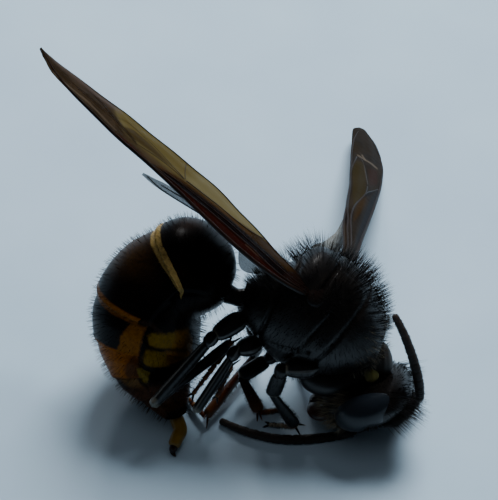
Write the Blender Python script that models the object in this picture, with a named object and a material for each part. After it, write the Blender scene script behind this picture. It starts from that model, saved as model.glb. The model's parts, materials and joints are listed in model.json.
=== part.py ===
"""Asian hornet, life size, curled up as it lies dead on a table.

The hornet is modelled in millimetres in its own axes: x forward, y to its left, z towards its back,
with the middle of the thorax at zero. body() lays those axes down as the hornet lies: turned about
the vertical, nose down and leaning on its left side. At the end everything is made metres.
"""
import math

import bmesh
import bpy
from mathutils import Matrix, Vector

# How the hornet lies.
HEADING = math.radians(-15.8)
NOSE_DOWN = math.radians(13.7)
LEAN = math.radians(27.9)
RIDE_HEIGHT = 6.36
STAND_X = 4.69
STAND_Y = -7.53

# Driving sizes, in millimetres.
THORAX_LENGTH = 8.4
THORAX_HEIGHT = 7.2
THORAX_WIDTH = 5.8
HEAD_WIDTH = 5.6
HEAD_HEIGHT = 5.0
HEAD_DEPTH = 3.2
GASTER_WIDTH = 7.2
LEG_WIDTH = 0.9
FOOT_WIDTH = 0.54
TOE_WIDTH = 0.3
SPUR_LENGTH = 0.8
SPINE_RADIUS = 0.1
THORNS = 4
THORN_LENGTH = 0.6
CLAW_LENGTH = 0.4
ANTENNA_WIDTH = 0.52
WING_THICKNESS = 0.5
VEIN_HEIGHT = 0.1
GAP = 0.3
REST_DEPTH = 0.05
METRES = 0.001

# How finely round forms are divided.
BODY_SIDES = 24
LIMB_SIDES = 8
DOME_STEPS = 2

POSE = (Matrix.Translation((STAND_X, STAND_Y, RIDE_HEIGHT)) @ Matrix.Rotation(HEADING, 4, "Z")
        @ Matrix.Rotation(NOSE_DOWN, 4, "Y") @ Matrix.Rotation(-LEAN, 4, "X"))


def body(forward, left, back):
    """Where a point of the hornet's own axes lies on the table."""
    return POSE @ Vector((forward, left, back))


def table(x, y, height):
    """A place given on the table, counted from the point under the middle of the thorax."""
    return Vector((STAND_X + x, STAND_Y + y, height))


def clear_scene():
    """Removes whatever the file held before."""
    for item in list(bpy.data.objects):
        bpy.data.objects.remove(item, do_unlink=True)


def material(name, colour, roughness):
    """One plain finish: an sRGB-like colour triple and a roughness."""
    made = bpy.data.materials.get(name) or bpy.data.materials.new(name)
    made.use_nodes = True
    shader = made.node_tree.nodes["Principled BSDF"]
    shader.inputs["Base Color"].default_value = (*colour, 1.0)
    shader.inputs["Roughness"].default_value = roughness
    return made


def black_cuticle():
    return material("black_cuticle", (0.012, 0.010, 0.010), 0.4)


def brown_cuticle():
    return material("brown_cuticle", (0.06, 0.025, 0.012), 0.4)


def orange_cuticle():
    return material("orange_cuticle", (0.42, 0.17, 0.03), 0.4)


def yellow_cuticle():
    return material("yellow_cuticle", (0.55, 0.36, 0.06), 0.45)


def pale_membrane():
    return material("pale_membrane", (0.5, 0.45, 0.25), 0.6)


def eye_cuticle():
    return material("eye_cuticle", (0.012, 0.012, 0.016), 0.15)


def wing_membrane():
    return material("wing_membrane", (0.22, 0.14, 0.05), 0.35)


def smooth_curve(points, steps):
    """Points of a smooth curve through the given ones, with so many steps to each stretch."""
    knots = [Vector(point) for point in points]
    knots = [2 * knots[0] - knots[1], *knots, 2 * knots[-1] - knots[-2]]
    curve = []
    for before, start, end, after in zip(knots, knots[1:], knots[2:], knots[3:]):
        for step in range(steps):
            t = step / steps
            curve.append(0.5 * (2 * start + (end - before) * t
                                + (2 * before - 5 * start + 4 * end - after) * t ** 2
                                + (3 * start - before - 3 * end + after) * t ** 3))
    curve.append(knots[-2])
    return curve


def oval(centre, side, up, half_width, half_up, half_down, sides=BODY_SIDES, squareness=2.0):
    """A ring about centre: a rounded outline whose upper and lower halves may differ."""
    ring = []
    for step in range(sides):
        angle = 2 * math.pi * step / sides
        across = math.copysign(abs(math.cos(angle)) ** (2 / squareness), math.cos(angle))
        rise = math.copysign(abs(math.sin(angle)) ** (2 / squareness), math.sin(angle))
        half_height = half_up if rise > 0 else half_down
        ring.append(centre + side * half_width * across + up * half_height * rise)
    return ring


def loft(rings):
    """A closed skin over rings of equal count; a ring of one point closes it as a tip."""
    skin = bmesh.new()
    rows = [[skin.verts.new(point) for point in ring] for ring in rings]
    for row, following in zip(rows, rows[1:]):
        count = max(len(row), len(following))
        for step in range(count):
            after = (step + 1) % count
            if len(row) == 1:
                skin.faces.new((row[0], following[after], following[step]))
            elif len(following) == 1:
                skin.faces.new((row[step], row[after], following[0]))
            else:
                skin.faces.new((row[step], row[after], following[after], following[step]))
    for row in (rows[0], rows[-1]):
        if len(row) > 1:
            skin.faces.new(row)
    bmesh.ops.recalc_face_normals(skin, faces=skin.faces)
    return skin


def slice_off(skin, point, normal):
    """Cuts away what lies on the normal's side of a plane and closes the cut flat."""
    geometry = [*skin.verts, *skin.edges, *skin.faces]
    cut = bmesh.ops.bisect_plane(skin, geom=geometry, plane_co=point, plane_no=normal,
                                 dist=1e-5, clear_outer=True)
    rim = [item for item in cut["geom_cut"] if isinstance(item, bmesh.types.BMEdge)]
    if rim:
        bmesh.ops.contextual_create(skin, geom=rim)
        bmesh.ops.recalc_face_normals(skin, faces=skin.faces)
    return skin


def grown(skin, amount):
    """A copy of a skin that stands off it by amount, for cutting a neighbour clear."""
    copy = skin.copy()
    copy.normal_update()
    for vertex in copy.verts:
        vertex.co += vertex.normal * amount
    return copy


def add_node(name, skin, finish):
    """Makes a skin an object of its own, shaded smooth but for its sharp edges."""
    mesh = bpy.data.meshes.new(name)
    skin.to_mesh(mesh)
    skin.free()
    mesh.materials.append(finish)
    mesh.shade_smooth()
    mesh.set_sharp_from_angle(angle=math.radians(40))
    node = bpy.data.objects.new(name, mesh)
    bpy.context.collection.objects.link(node)
    return node


def combine(node, skins, operation):
    """Cuts skins from a node, or joins them to it, in one Boolean step."""
    group = bpy.data.collections.new(f"{node.name}_{operation.lower()}")
    bpy.context.scene.collection.children.link(group)
    for number, skin in enumerate(skins):
        mesh = bpy.data.meshes.new(f"{node.name}_tool_{number}")
        skin.to_mesh(mesh)
        skin.free()
        group.objects.link(bpy.data.objects.new(mesh.name, mesh))
    step = node.modifiers.new(operation.title(), "BOOLEAN")
    step.operation = operation
    step.operand_type = "COLLECTION"
    step.collection = group
    step.solver = "EXACT"
    bpy.context.view_layer.update()
    ready = node.evaluated_get(bpy.context.evaluated_depsgraph_get())
    mesh = bpy.data.meshes.new_from_object(ready)
    node.modifiers.clear()
    node.data = mesh
    for tool in list(group.objects):
        bpy.data.objects.remove(tool, do_unlink=True)
    bpy.data.collections.remove(group)
    keep_largest(node)
    mesh.set_sharp_from_angle(angle=math.radians(40))


def keep_largest(node):
    """Keeps only the node's largest closed surface."""
    skin = bmesh.new()
    skin.from_mesh(node.data)
    waiting = set(skin.verts)
    islands = []
    while waiting:
        front = [waiting.pop()]
        island = set(front)
        while front:
            for edge in front.pop().link_edges:
                for vertex in edge.verts:
                    if vertex in waiting:
                        waiting.remove(vertex)
                        island.add(vertex)
                        front.append(vertex)
        islands.append(island)
    islands.sort(key=len)
    for island in islands[:-1]:
        bmesh.ops.delete(skin, geom=list(island), context="VERTS")
    skin.to_mesh(node.data)
    skin.free()


# Limbs: rods along a few joints, with a dome at each free end.

def rod(points, radii, sides=LIMB_SIDES):
    """A closed rod along points, as thick at each as its radius says, with domed ends."""
    rings = []
    count = len(points)
    guide = None
    for number, (point, radius) in enumerate(zip(points, radii)):
        before = points[max(number - 1, 0)]
        after = points[min(number + 1, count - 1)]
        along = (after - before).normalized()
        if guide is None:
            guide = along.orthogonal().normalized()
        side = (guide - along * guide.dot(along)).normalized()
        up = along.cross(side)
        guide = side
        if number == 0:
            rings.append([point - along * radius])
            rings += domes(point, along, side, up, radius, sides, range(DOME_STEPS - 1, 0, -1), -1)
        rings.append(oval(point, side, up, radius, radius, radius, sides))
        if number == count - 1:
            rings += domes(point, along, side, up, radius, sides, range(1, DOME_STEPS), 1)
            rings.append([point + along * radius])
    return loft(rings)


def domes(point, along, side, up, radius, sides, steps, sign):
    """The rings of a rod's rounded end."""
    made = []
    for step in steps:
        angle = math.pi / 2 * step / DOME_STEPS
        ring_radius = radius * math.cos(angle)
        centre = point + along * sign * radius * math.sin(angle)
        made.append(oval(centre, side, up, ring_radius, ring_radius, ring_radius, sides))
    return made


def mitre(before, joint, after):
    """The plane that halves the bend at a joint, as the direction across it."""
    return ((joint - before).normalized() + (after - joint).normalized()).normalized()


# Thorax: rings from the waist forward, as shares of its length, height and width.

THORAX_PROFILE = [
    # along, top, bottom, half width
    (0.00, 0.030, -0.190, 0.13),
    (0.06, 0.130, -0.250, 0.29),
    (0.15, 0.215, -0.320, 0.39),
    (0.25, 0.350, -0.390, 0.45),
    (0.34, 0.455, -0.450, 0.48),
    (0.44, 0.480, -0.490, 0.50),
    (0.55, 0.480, -0.490, 0.50),
    (0.67, 0.430, -0.440, 0.50),
    (0.79, 0.330, -0.370, 0.46),
    (0.90, 0.190, -0.280, 0.37),
    (0.97, 0.070, -0.200, 0.24),
]
THORAX_BACK = -0.51
COLLAR_CUT = (0.82, 0.52)
REAR_CUT = (0.235, 0.18)
GROOVES = [
    # along the thorax, how far down the sides as a share of the width, radius of the rod that presses it
    (0.47, 0.36, 0.22),
    (0.34, 0.30, 0.16),
]
TEGULA_RADIUS = 0.42


def thorax_point(along, rise):
    """A place of the thorax's mid plane, as shares of its length and height."""
    return (THORAX_LENGTH * (THORAX_BACK + along), THORAX_HEIGHT * rise)


def thorax_skin():
    """The whole thorax before it is parted."""
    rings = []
    side = body(0, 1, 0) - body(0, 0, 0)
    up = body(0, 0, 1) - body(0, 0, 0)
    for along, top, bottom, half_width in smooth_curve(THORAX_PROFILE, 2):
        x, _ = thorax_point(along, 0)
        middle = THORAX_HEIGHT * (top + bottom) / 2
        half_height = THORAX_HEIGHT * (top - bottom) / 2
        rings.append(oval(body(x, 0, middle), side, up, THORAX_WIDTH * half_width,
                          half_height, half_height, squareness=2.2))
    return loft(rings)


def thorax_plane(cut):
    """A slanting cut across the thorax: its middle and its direction, from two shares of the length."""
    top_x, top_z = thorax_point(cut[0], 0.5)
    low_x, low_z = thorax_point(cut[1], -0.5)
    top = body(top_x, 0, top_z)
    low = body(low_x, 0, low_z)
    across = body(0, 1, 0) - body(0, 0, 0)
    normal = across.cross(top - low).normalized()
    return (top + low) / 2, normal


def build_thorax():
    """The collar, the middle of the thorax with its groove behind the shield, and the rear."""
    collar_point, collar_normal = thorax_plane(COLLAR_CUT)
    rear_point, rear_normal = thorax_plane(REAR_CUT)
    half_gap = GAP / 2
    collar = slice_off(thorax_skin(), collar_point + collar_normal * half_gap, -collar_normal)
    add_node("pronotum", collar, black_cuticle())
    middle = slice_off(thorax_skin(), collar_point - collar_normal * half_gap, collar_normal)
    middle = slice_off(middle, rear_point + rear_normal * half_gap, -rear_normal)
    node = add_node("mesothorax", middle, black_cuticle())
    combine(node, [tegula(hand) for hand in (1, -1)], "UNION")
    combine(node, [*[back_groove(*groove) for groove in GROOVES], *[side_groove(hand) for hand in (1, -1)]],
            "DIFFERENCE")
    rear = slice_off(thorax_skin(), rear_point - rear_normal * half_gap, rear_normal)
    add_node("propodeum", rear, black_cuticle())


def back_groove(along, reach_share, radius):
    """The bent rod that presses a groove across the back, such as the one behind the shield."""
    x, _ = thorax_point(along, 0)
    reach = THORAX_WIDTH * reach_share
    crown = THORAX_HEIGHT * 0.49
    half = [body(x - 0.25, reach, crown * 0.72), body(x, reach * 0.5, crown * 0.98)]
    other = [body(x, -reach * 0.5, crown * 0.98), body(x - 0.25, -reach, crown * 0.72)]
    points = smooth_curve([*half, body(x + 0.1, 0, crown * 1.05), *other], 2)
    return rod(points, [radius] * len(points))


def side_groove(hand):
    """The rod that presses the seam down the side, from below the wings to between the legs."""
    half_width = THORAX_WIDTH / 2
    points = [body(0.7, hand * half_width * 0.98, 1.0), body(0.2, hand * half_width * 1.02, -0.6),
              body(-0.5, hand * half_width * 0.82, -2.3)]
    return rod(smooth_curve(points, 2), [0.14] * 5, 6)


def tegula(hand):
    """The small scale that covers the root of the wings."""
    centre = body(-0.3, hand * THORAX_WIDTH * 0.43, 1.95)
    return rod([centre, body(0.2, hand * THORAX_WIDTH * 0.43, 1.85)], [TEGULA_RADIUS, TEGULA_RADIUS * 0.8])


# Head: bent under the thorax, in axes of its own: up to its crown, and out of its face.

HEAD_BEND = math.radians(31.6)
HEAD_UP = (math.cos(HEAD_BEND), 0, math.sin(HEAD_BEND))
HEAD_FACE = (math.sin(HEAD_BEND), 0, -math.cos(HEAD_BEND))
HEAD_CENTRE = (4.25, 0, -3.75)
HEAD_PROFILE = [
    # rise, half width, front, back, as shares of the head's height, width and depth
    (-0.47, 0.17, 0.22, 0.20),
    (-0.40, 0.29, 0.36, 0.31),
    (-0.25, 0.39, 0.47, 0.40),
    (-0.07, 0.46, 0.49, 0.46),
    (0.11, 0.50, 0.44, 0.50),
    (0.27, 0.49, 0.34, 0.50),
    (0.40, 0.43, 0.20, 0.44),
    (0.49, 0.29, 0.08, 0.30),
    (0.525, 0.14, 0.02, 0.15),
]
MOUTH_SHIELD = [
    # rise, half width and front, as shares of the head's height, width and depth
    (-0.46, 0.09, 0.24),
    (-0.38, 0.17, 0.37),
    (-0.24, 0.20, 0.47),
    (-0.10, 0.17, 0.50),
    (-0.02, 0.08, 0.50),
]
SHIELD_SINK = 0.4
SHIELD_RAISED = 0.13
SIMPLE_EYES = [(0.0, 0.34, 0.27), (0.34, 0.41, 0.19), (-0.34, 0.41, 0.19)]
SIMPLE_EYE_RADIUS = 0.2
EYE_HEIGHT = 3.5
EYE_DEPTH = 2.0
EYE_BULGE = 0.85


def head_point(left, up, out):
    """Where a point of the head's own axes lies: to its left, towards its crown, out of its face."""
    place = Vector(HEAD_CENTRE) + Vector((0, left, 0)) + Vector(HEAD_UP) * up + Vector(HEAD_FACE) * out
    return body(*place)


def head_direction(left, up, out):
    """A direction of the head's own axes."""
    return head_point(left, up, out) - head_point(0, 0, 0)


def head_skin():
    """The head without its eye sockets, with the mouth shield raised on its face."""
    rings = []
    side = head_direction(1, 0, 0)
    out = head_direction(0, 0, 1)
    for rise, half_width, front, back in smooth_curve(HEAD_PROFILE, 2):
        centre = head_point(0, HEAD_HEIGHT * rise, 0)
        rings.append(oval(centre, side, out, HEAD_WIDTH * half_width, HEAD_DEPTH * front,
                          HEAD_DEPTH * back))
    return loft(rings)


def face_forms():
    """The mouth shield on the lower face and the three simple eyes on the crown."""
    side = head_direction(1, 0, 0)
    out = head_direction(0, 0, 1)
    rings = []
    for rise, half_width, front in smooth_curve(MOUTH_SHIELD, 2):
        centre = head_point(0, HEAD_HEIGHT * rise, HEAD_DEPTH * front - SHIELD_SINK)
        depth = SHIELD_SINK + SHIELD_RAISED
        rings.append(oval(centre, side, out, HEAD_WIDTH * half_width, depth, depth, 12))
    forms = [loft(rings)]
    for left, up, front in SIMPLE_EYES:
        centre = head_point(left, HEAD_HEIGHT * up, HEAD_DEPTH * front)
        forms.append(rod([centre, centre + out * 0.02], [SIMPLE_EYE_RADIUS] * 2, 6))
    return forms


def eye_skin(hand):
    """One compound eye: a long dome bent like a kidney round the side of the face."""
    rings = []
    steps = 8
    for step in range(steps + 1):
        share = step / steps * 2 - 1
        rise = EYE_HEIGHT / 2 * share
        swell = math.sqrt(max(0.0, 1 - share ** 2))
        lean_in = 0.55 * share ** 2
        centre = head_point(hand * (HEAD_WIDTH * 0.41 - 0.28 * lean_in - 0.12 * share ** 2), rise + 0.1,
                            0.1 - 0.25 * share)
        if swell < 0.05:
            rings.append([centre])
            continue
        outward = head_direction(hand, 0, 0.2).normalized()
        along = head_direction(0, 1, 0)
        face_side = outward.cross(along)
        rings.append(oval(centre, face_side, outward, EYE_DEPTH / 2 * swell, EYE_BULGE * swell,
                          0.5 * swell, 16))
    return loft(rings)


def mandible_skin(hand):
    """One jaw: a short curved blade that meets the other in front of the mouth."""
    low = -HEAD_HEIGHT * 0.47
    points = [head_point(hand * 0.95, low + 0.45, 0.1), head_point(hand * 1.05, low - 0.15, 0.25),
              head_point(hand * 0.85, low - 0.75, 0.35), head_point(hand * 0.4, low - 1.2, 0.35)]
    return rod(smooth_curve(points, 2), [0.5, 0.5, 0.48, 0.45, 0.4, 0.3, 0.16])


def build_head(head):
    """The head with its sockets, the eyes in them, the jaws and the neck."""
    node = add_node("head", head.copy(), black_cuticle())
    combine(node, face_forms(), "UNION")
    combine(node, [grown(eye_skin(hand), GAP) for hand in (1, -1)], "DIFFERENCE")
    for hand, side in ((1, "left"), (-1, "right")):
        add_node(f"eye_{side}", eye_skin(hand), eye_cuticle())
        jaw = add_node(f"mandible_{side}", mandible_skin(hand), brown_cuticle())
        combine(jaw, [grown(head, GAP)], "DIFFERENCE")
    neck = add_node("neck", rod([body(3.2, 0, -0.9), body(3.9, 0, -1.35), head_point(0, 0.7, -0.6)],
                                [0.95, 0.95, 0.8], 12), pale_membrane())
    combine(neck, [grown(head, GAP), grown(thorax_skin(), GAP)], "DIFFERENCE")


# Gaster: rings from the waist to the tail, each by its upper and its lower point in the mid plane.

GASTER_RINGS = [
    # upper x, upper z, lower x, lower z, half width as a share of the whole width, shift to the left
    (-5.00, -0.35, -5.05, -1.20, 0.07, 0.0),
    (-5.10, 0.60, -5.30, -1.60, 0.20, 0.0),
    (-5.80, 1.65, -5.65, -1.95, 0.34, 0.0),
    (-7.30, 2.40, -5.90, -2.25, 0.42, 0.0),
    (-8.75, 2.30, -6.05, -2.45, 0.45, 0.0),
    (-9.85, 1.50, -6.10, -2.70, 0.46, 0.0),
    (-11.35, -0.50, -5.80, -3.60, 0.50, 0.0),
    (-12.05, -2.75, -5.55, -4.50, 0.50, 0.0),
    (-11.75, -4.90, -5.45, -5.20, 0.46, 0.0),
    (-10.90, -6.40, -5.40, -5.85, 0.41, 0.0),
    (-9.40, -7.90, -5.30, -6.60, 0.32, -0.1),
    (-7.70, -8.45, -5.10, -7.20, 0.22, -0.5),
    (-6.10, -8.75, -4.90, -8.00, 0.12, -1.1),
]
GASTER_RIMS = [0, 5, 7, 9, 10, 11, 12]
RIM_TUCK = 0.93


def gaster_ring(values, share=1.0):
    """One ring of the gaster, at a share of its full size."""
    upper_x, upper_z, lower_x, lower_z, width_share, shift = values
    upper = body(upper_x, shift, upper_z)
    lower = body(lower_x, shift, lower_z)
    up = (upper - lower).normalized()
    half_height = (upper - lower).length / 2 * share
    side = body(0, 1, 0) - body(0, 0, 0)
    return oval((upper + lower) / 2, side, up, GASTER_WIDTH * width_share * share, half_height, half_height)


def build_gaster():
    """The six segments, each tucked under the rim of the one before it."""
    steps = 3
    curve = smooth_curve(GASTER_RINGS, steps)
    for number, (start, end) in enumerate(zip(GASTER_RIMS, GASTER_RIMS[1:]), 1):
        stretch = curve[start * steps:end * steps + 1]
        first = stretch[0]
        if number > 1:
            step = (centre_of(stretch[1]) - centre_of(first)).length
            inner_step = math.dist(first[2:4], stretch[1][2:4])
            first = first.lerp(stretch[1], min(0.9, 2 * GAP / (step + inner_step)))
        shares = [RIM_TUCK if number > 1 else 1.0, *[1.0] * (len(stretch) - 1)]
        rings = [gaster_ring(values, share) for values, share in zip([first, *stretch[1:]], shares)]
        finish = yellow_cuticle() if number in (3, 4) else black_cuticle()
        add_node(f"gaster_{number}", loft(rings), finish)


def centre_of(values):
    """The middle of a ring's upper and lower points, in the mid plane."""
    return Vector(((values[0] + values[2]) / 2, values[5], (values[1] + values[3]) / 2))


def build_waist():
    """The thin stalk between the thorax and the gaster."""
    stalk = rod([body(-3.9, 0, -0.75), body(-5.2, 0, -0.8)], [0.6, 0.55], 10)
    node = add_node("waist", stalk, black_cuticle())
    front = loft([gaster_ring(values) for values in smooth_curve(GASTER_RINGS[:4], 3)])
    combine(node, [grown(thorax_skin(), GAP), grown(front, GAP)], "DIFFERENCE")


def build_sting():
    """The yellow sheath at the tail's end, with the sting's dark point."""
    tail = gaster_ring(GASTER_RINGS[-1])
    end = sum(tail, Vector()) / len(tail)
    tip = body(-4.75, -2.82, -10.1)
    along = (tip - end).normalized()
    sheath = rod([end + along * (GAP + 0.35), end.lerp(tip, 0.6), tip], [0.35, 0.3, 0.12])
    add_node("sting", sheath, orange_cuticle())


# Wings: folded lengthwise, narrow, with the main veins raised as ridges.

WING_COLUMNS = [
    # share of the chord from the leading edge, whether a vein runs there
    (0.0, 1), (0.10, 0), (0.20, 1), (0.34, 0), (0.48, 1), (0.74, 0), (1.0, 1),
]
FOREWING_OUTLINE = [
    # share of the length, leading edge and folded edge in millimetres across the axis
    (0.00, -0.85, 0.20),
    (0.07, -1.50, 0.25),
    (0.13, -1.80, 0.42),
    (0.20, -2.00, 0.70),
    (0.28, -2.05, 0.92),
    (0.36, -1.95, 1.18),
    (0.46, -1.80, 1.12),
    (0.57, -1.72, 0.92),
    (0.68, -1.76, 0.75),
    (0.78, -1.55, 0.50),
    (0.86, -1.38, 0.30),
    (0.93, -1.10, 0.15),
    (0.98, -0.45, 0.05),
    (1.00, -0.10, 0.05),
]
SPREAD_OUTLINE = [
    # the left forewing, less tightly folded, so that its tip shows broad and round
    (0.00, -0.60, 0.10),
    (0.14, -1.25, -0.42),
    (0.28, -1.53, -0.10),
    (0.42, -1.80, -0.04),
    (0.56, -2.06, 0.00),
    (0.70, -2.25, 0.17),
    (0.82, -2.20, 0.30),
    (0.91, -1.90, 0.38),
    (0.965, -1.45, 0.36),
    (1.00, -0.75, 0.00),
]
HINDWING_OUTLINE = [
    (0.00, -0.30, 0.30),
    (0.15, 0.10, 1.30),
    (0.30, 0.40, 1.90),
    (0.50, 0.45, 1.60),
    (0.74, 0.05, 1.00),
    (0.90, -0.20, 0.50),
    (1.00, -0.08, 0.08),
]
TUCKED_OUTLINE = [
    # the left hindwing, whose rear corner alone stands out beside the forewing
    (0.00, -0.30, 0.30),
    (0.15, -0.40, 0.50),
    (0.28, -0.40, 1.10),
    (0.40, -0.40, 0.70),
    (0.60, -0.40, 0.30),
    (0.85, -0.30, 0.25),
    (1.00, -0.08, 0.08),
]
CROSS_VEINS = [(0.44, 0.48), (0.66, 0.20)]
WING_ARCH = 0.12
LOBE_AT = 0.20
LOBE_LENGTH = 0.11


def wing_axes(root, tip, chord):
    """Along the wing, across it towards the folded edge, and out of its upper face."""
    along = (tip - root).normalized()
    across = (chord - along * chord.dot(along)).normalized()
    normal = along.cross(across)
    return along, across, normal if normal.z > 0 else -normal


def wing_skin(root, tip, chord, outline, droop=0.0):
    """A thin blade with its veins; droop hangs a lobe from its rear edge."""
    along, across, normal = wing_axes(root, tip, chord)
    length = (tip - root).length
    skin = bmesh.new()
    sheets = {1: [], -1: []}
    rows = smooth_curve(outline, 2)
    for share, lead, fold in rows:
        taper = 1 - 0.5 * share ** 4
        bow = math.sin(math.pi * share)
        lobe = droop * math.exp(-((share - LOBE_AT) / LOBE_LENGTH) ** 2)
        for face, sheet in sheets.items():
            row = []
            for column, vein in WING_COLUMNS:
                offset = lead + (fold - lead) * column
                crossing = any(abs(share - at) < 0.04 and column >= start for at, start in CROSS_VEINS)
                height = (WING_THICKNESS / 2 + VEIN_HEIGHT * (vein or crossing)) * taper
                arch = WING_ARCH * (math.sin(math.pi * column) + bow) - lobe * column ** 2
                row.append(skin.verts.new(root + along * length * share + across * offset
                                          + normal * (arch + face * height)))
            sheet.append(row)
    for face, sheet in sheets.items():
        for row, following in zip(sheet, sheet[1:]):
            for step in range(len(row) - 1):
                skin.faces.new((row[step], row[step + 1], following[step + 1]))
                skin.faces.new((row[step], following[step + 1], following[step]))
    upper, lower = sheets[1], sheets[-1]
    for edge in (0, -1):
        for step in range(len(rows) - 1):
            skin.faces.new((upper[step][edge], upper[step + 1][edge], lower[step + 1][edge]))
            skin.faces.new((upper[step][edge], lower[step + 1][edge], lower[step][edge]))
        for step in range(len(WING_COLUMNS) - 1):
            skin.faces.new((upper[edge][step], upper[edge][step + 1], lower[edge][step + 1]))
            skin.faces.new((upper[edge][step], lower[edge][step + 1], lower[edge][step]))
    bmesh.ops.recalc_face_normals(skin, faces=skin.faces)
    return skin


def beneath(root, tip, chord, share, across_by, below_by):
    """A place under a forewing: a share along it, and millimetres across and below its axis."""
    _, across, upward = wing_axes(root, tip, chord)
    return root.lerp(tip, share) + across * across_by - upward * below_by


def build_wings():
    """The right pair is raised over the back; the left pair is spread, its tip on the table."""
    right = (body(-0.9, -2.0, 2.0), body(-19.3, 0.25, 8.65), body(0.57, 2.85, 0.39) - body(0, 0, 0))
    left = (body(-0.1, 1.9, 2.0), table(3.09, 20.25, 0.66), Vector((-1.8, -0.4, 1.5)))
    right_hind = (body(-1.8, -1.3, 1.1), beneath(*right, 0.60, -0.5, 1.1), right[2])
    left_hind = (body(-0.7, 1.9, 1.0), beneath(*left, 0.56, -1.2, 1.1), left[2])
    wings = {
        "forewing_right": wing_skin(*right, FOREWING_OUTLINE),
        "hindwing_right": wing_skin(*right_hind, HINDWING_OUTLINE, droop=1.9),
        "forewing_left": wing_skin(*left, SPREAD_OUTLINE),
        "hindwing_left": wing_skin(*left_hind, TUCKED_OUTLINE),
    }
    for name, skin in wings.items():
        node = add_node(name, skin, wing_membrane())
        scales = [grown(tegula(hand), GAP) for hand in (1, -1)]
        combine(node, [grown(thorax_skin(), GAP), *scales], "DIFFERENCE")


# Antennae: a shaft from the face, an elbow, and the whip in two lengths.

def build_antennae(head):
    """The right antenna stands up past the collar; the left one lies along the table."""
    radius = ANTENNA_WIDTH / 2
    floor = radius - REST_DEPTH
    places = {
        "right": [head_point(-0.5, 0.3, 1.3), head_point(-0.65, 1.4, 1.45), body(6.95, -0.85, -2.25),
                  body(6.5, -1.1, -1.2), body(5.75, -1.15, -0.05), body(4.75, -1.15, 1.15),
                  body(3.8, -1.1, 2.05)],
        "left": [head_point(0.5, 0.3, 0.9), table(2.1, -3.5, 0.4), table(1.2, -3.85, floor),
                 table(-0.6, -4.1, floor), table(-2.3, -4.05, floor), table(-4.0, -3.55, floor),
                 table(-5.5, -2.75, floor)],
    }
    for side, (socket, bow, elbow, *whip) in places.items():
        halfway = len(whip) // 2
        bend = mitre(bow, elbow, whip[0])
        end = elbow + (elbow - bow).normalized() * radius
        shaft = rod([socket, bow, end], [radius * 0.9, radius, radius])
        shaft = slice_off(shaft, elbow - bend * GAP / 2, bend)
        node = add_node(f"antenna_{side}_shaft", shaft, brown_cuticle())
        combine(node, [grown(head, GAP)], "DIFFERENCE")
        parting = whip[halfway - 1]
        straight = mitre(whip[halfway - 2], parting, whip[halfway])
        start = elbow - (whip[0] - elbow).normalized() * radius
        inner = rod([start, *whip[:halfway + 1]], [radius] * (halfway + 2))
        inner = slice_off(inner, elbow + bend * GAP / 2, -bend)
        inner = slice_off(inner, parting - straight * GAP / 2, straight)
        add_node(f"antenna_{side}_whip", inner, brown_cuticle())
        outer = rod(whip[halfway - 2:], [radius] * (len(whip) - halfway + 1) + [radius * 0.6])
        outer = slice_off(outer, parting + straight * GAP / 2, -straight)
        add_node(f"antenna_{side}_tip", outer, brown_cuticle())


# Legs: hip with its short ring, thigh, shin and foot.

def build_legs():
    """Six legs, drawn in under the body."""
    floor = TOE_WIDTH / 2 - REST_DEPTH
    legs = {
        # hip, ring, knee, ankle, toe
        "hind_right": (body(-3.7, -0.9, -1.3), body(-5.0, -2.1, -2.75), body(-6.75, -3.65, -7.15),
                       body(-3.85, -0.5, -3.2), body(-4.9, -1.65, -6.6)),
        "middle_right": (body(-2.4, -1.2, -2.3), body(-3.55, -2.0, -3.1), body(-4.4, -2.9, -6.9),
                         body(-3.5, -1.4, -4.1), body(-3.6, -1.3, -6.4)),
        "fore_right": (body(1.1, -2.2, -2.1), body(-0.8, -2.7, -2.8), body(-0.75, -1.9, -4.75),
                       table(-1.2, -3.5, 0.6), table(-2.7, -2.98, floor)),
        "hind_left": (body(-3.0, 0.9, -1.8), body(-3.0, 1.7, -3.1), body(-2.3, 3.4, -5.15),
                      table(-6.3, -2.75, 0.55), table(-8.0, -0.25, floor)),
        "middle_left": (body(-1.2, 1.0, -2.6), body(-1.4, 1.7, -4.2), body(-2.7, 1.0, -5.75),
                        table(-3.2, -2.35, 0.4), table(-1.9, -1.9, floor)),
        "fore_left": (body(1.8, 1.2, -2.6), body(0.9, 2.2, -4.0), body(0.0, 4.2, -4.4),
                      table(0.6, 4.3, 0.6), table(-1.6, 5.3, floor)),
    }
    for name, joints in legs.items():
        build_leg(name, joints)


def build_leg(name, joints):
    """One leg from its joints, with a gap across the bend at each."""
    hip, ring, knee, ankle, toe = joints
    thick = LEG_WIDTH / 2
    thin = FOOT_WIDTH / 2
    pieces = [
        ("hip", [hip, ring], [0.66, 0.54], black_cuticle()),
        ("thigh", [ring, ring.lerp(knee, 0.5), knee], [thick * 0.9, thick, thick * 0.85], black_cuticle()),
        ("shin", [knee, knee.lerp(ankle, 0.6), ankle], [thin, thick * 0.9, thick * 0.8], brown_cuticle()),
        ("foot", [ankle, ankle.lerp(toe, 0.5), toe], [thin, thin, TOE_WIDTH / 2], orange_cuticle()),
    ]
    planes = [(joint, mitre(before, joint, after))
              for before, joint, after in zip(joints, joints[1:], joints[2:])]
    for number, (part, points, radii, finish) in enumerate(pieces):
        skin = rod(points, radii)
        if number > 0:
            joint, bend = planes[number - 1]
            skin = slice_off(skin, joint + bend * GAP / 2, -bend)
        if number < len(planes):
            joint, bend = planes[number]
            skin = slice_off(skin, joint - bend * GAP / 2, bend)
        node = add_node(f"leg_{name}_{part}", skin, finish)
        if part == "hip":
            combine(node, [grown(thorax_skin(), GAP)], "DIFFERENCE")
        if part == "shin":
            combine(node, spurs(knee, ankle, toe), "UNION")
        if part == "foot":
            combine(node, claws(ankle, toe), "UNION")


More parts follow.
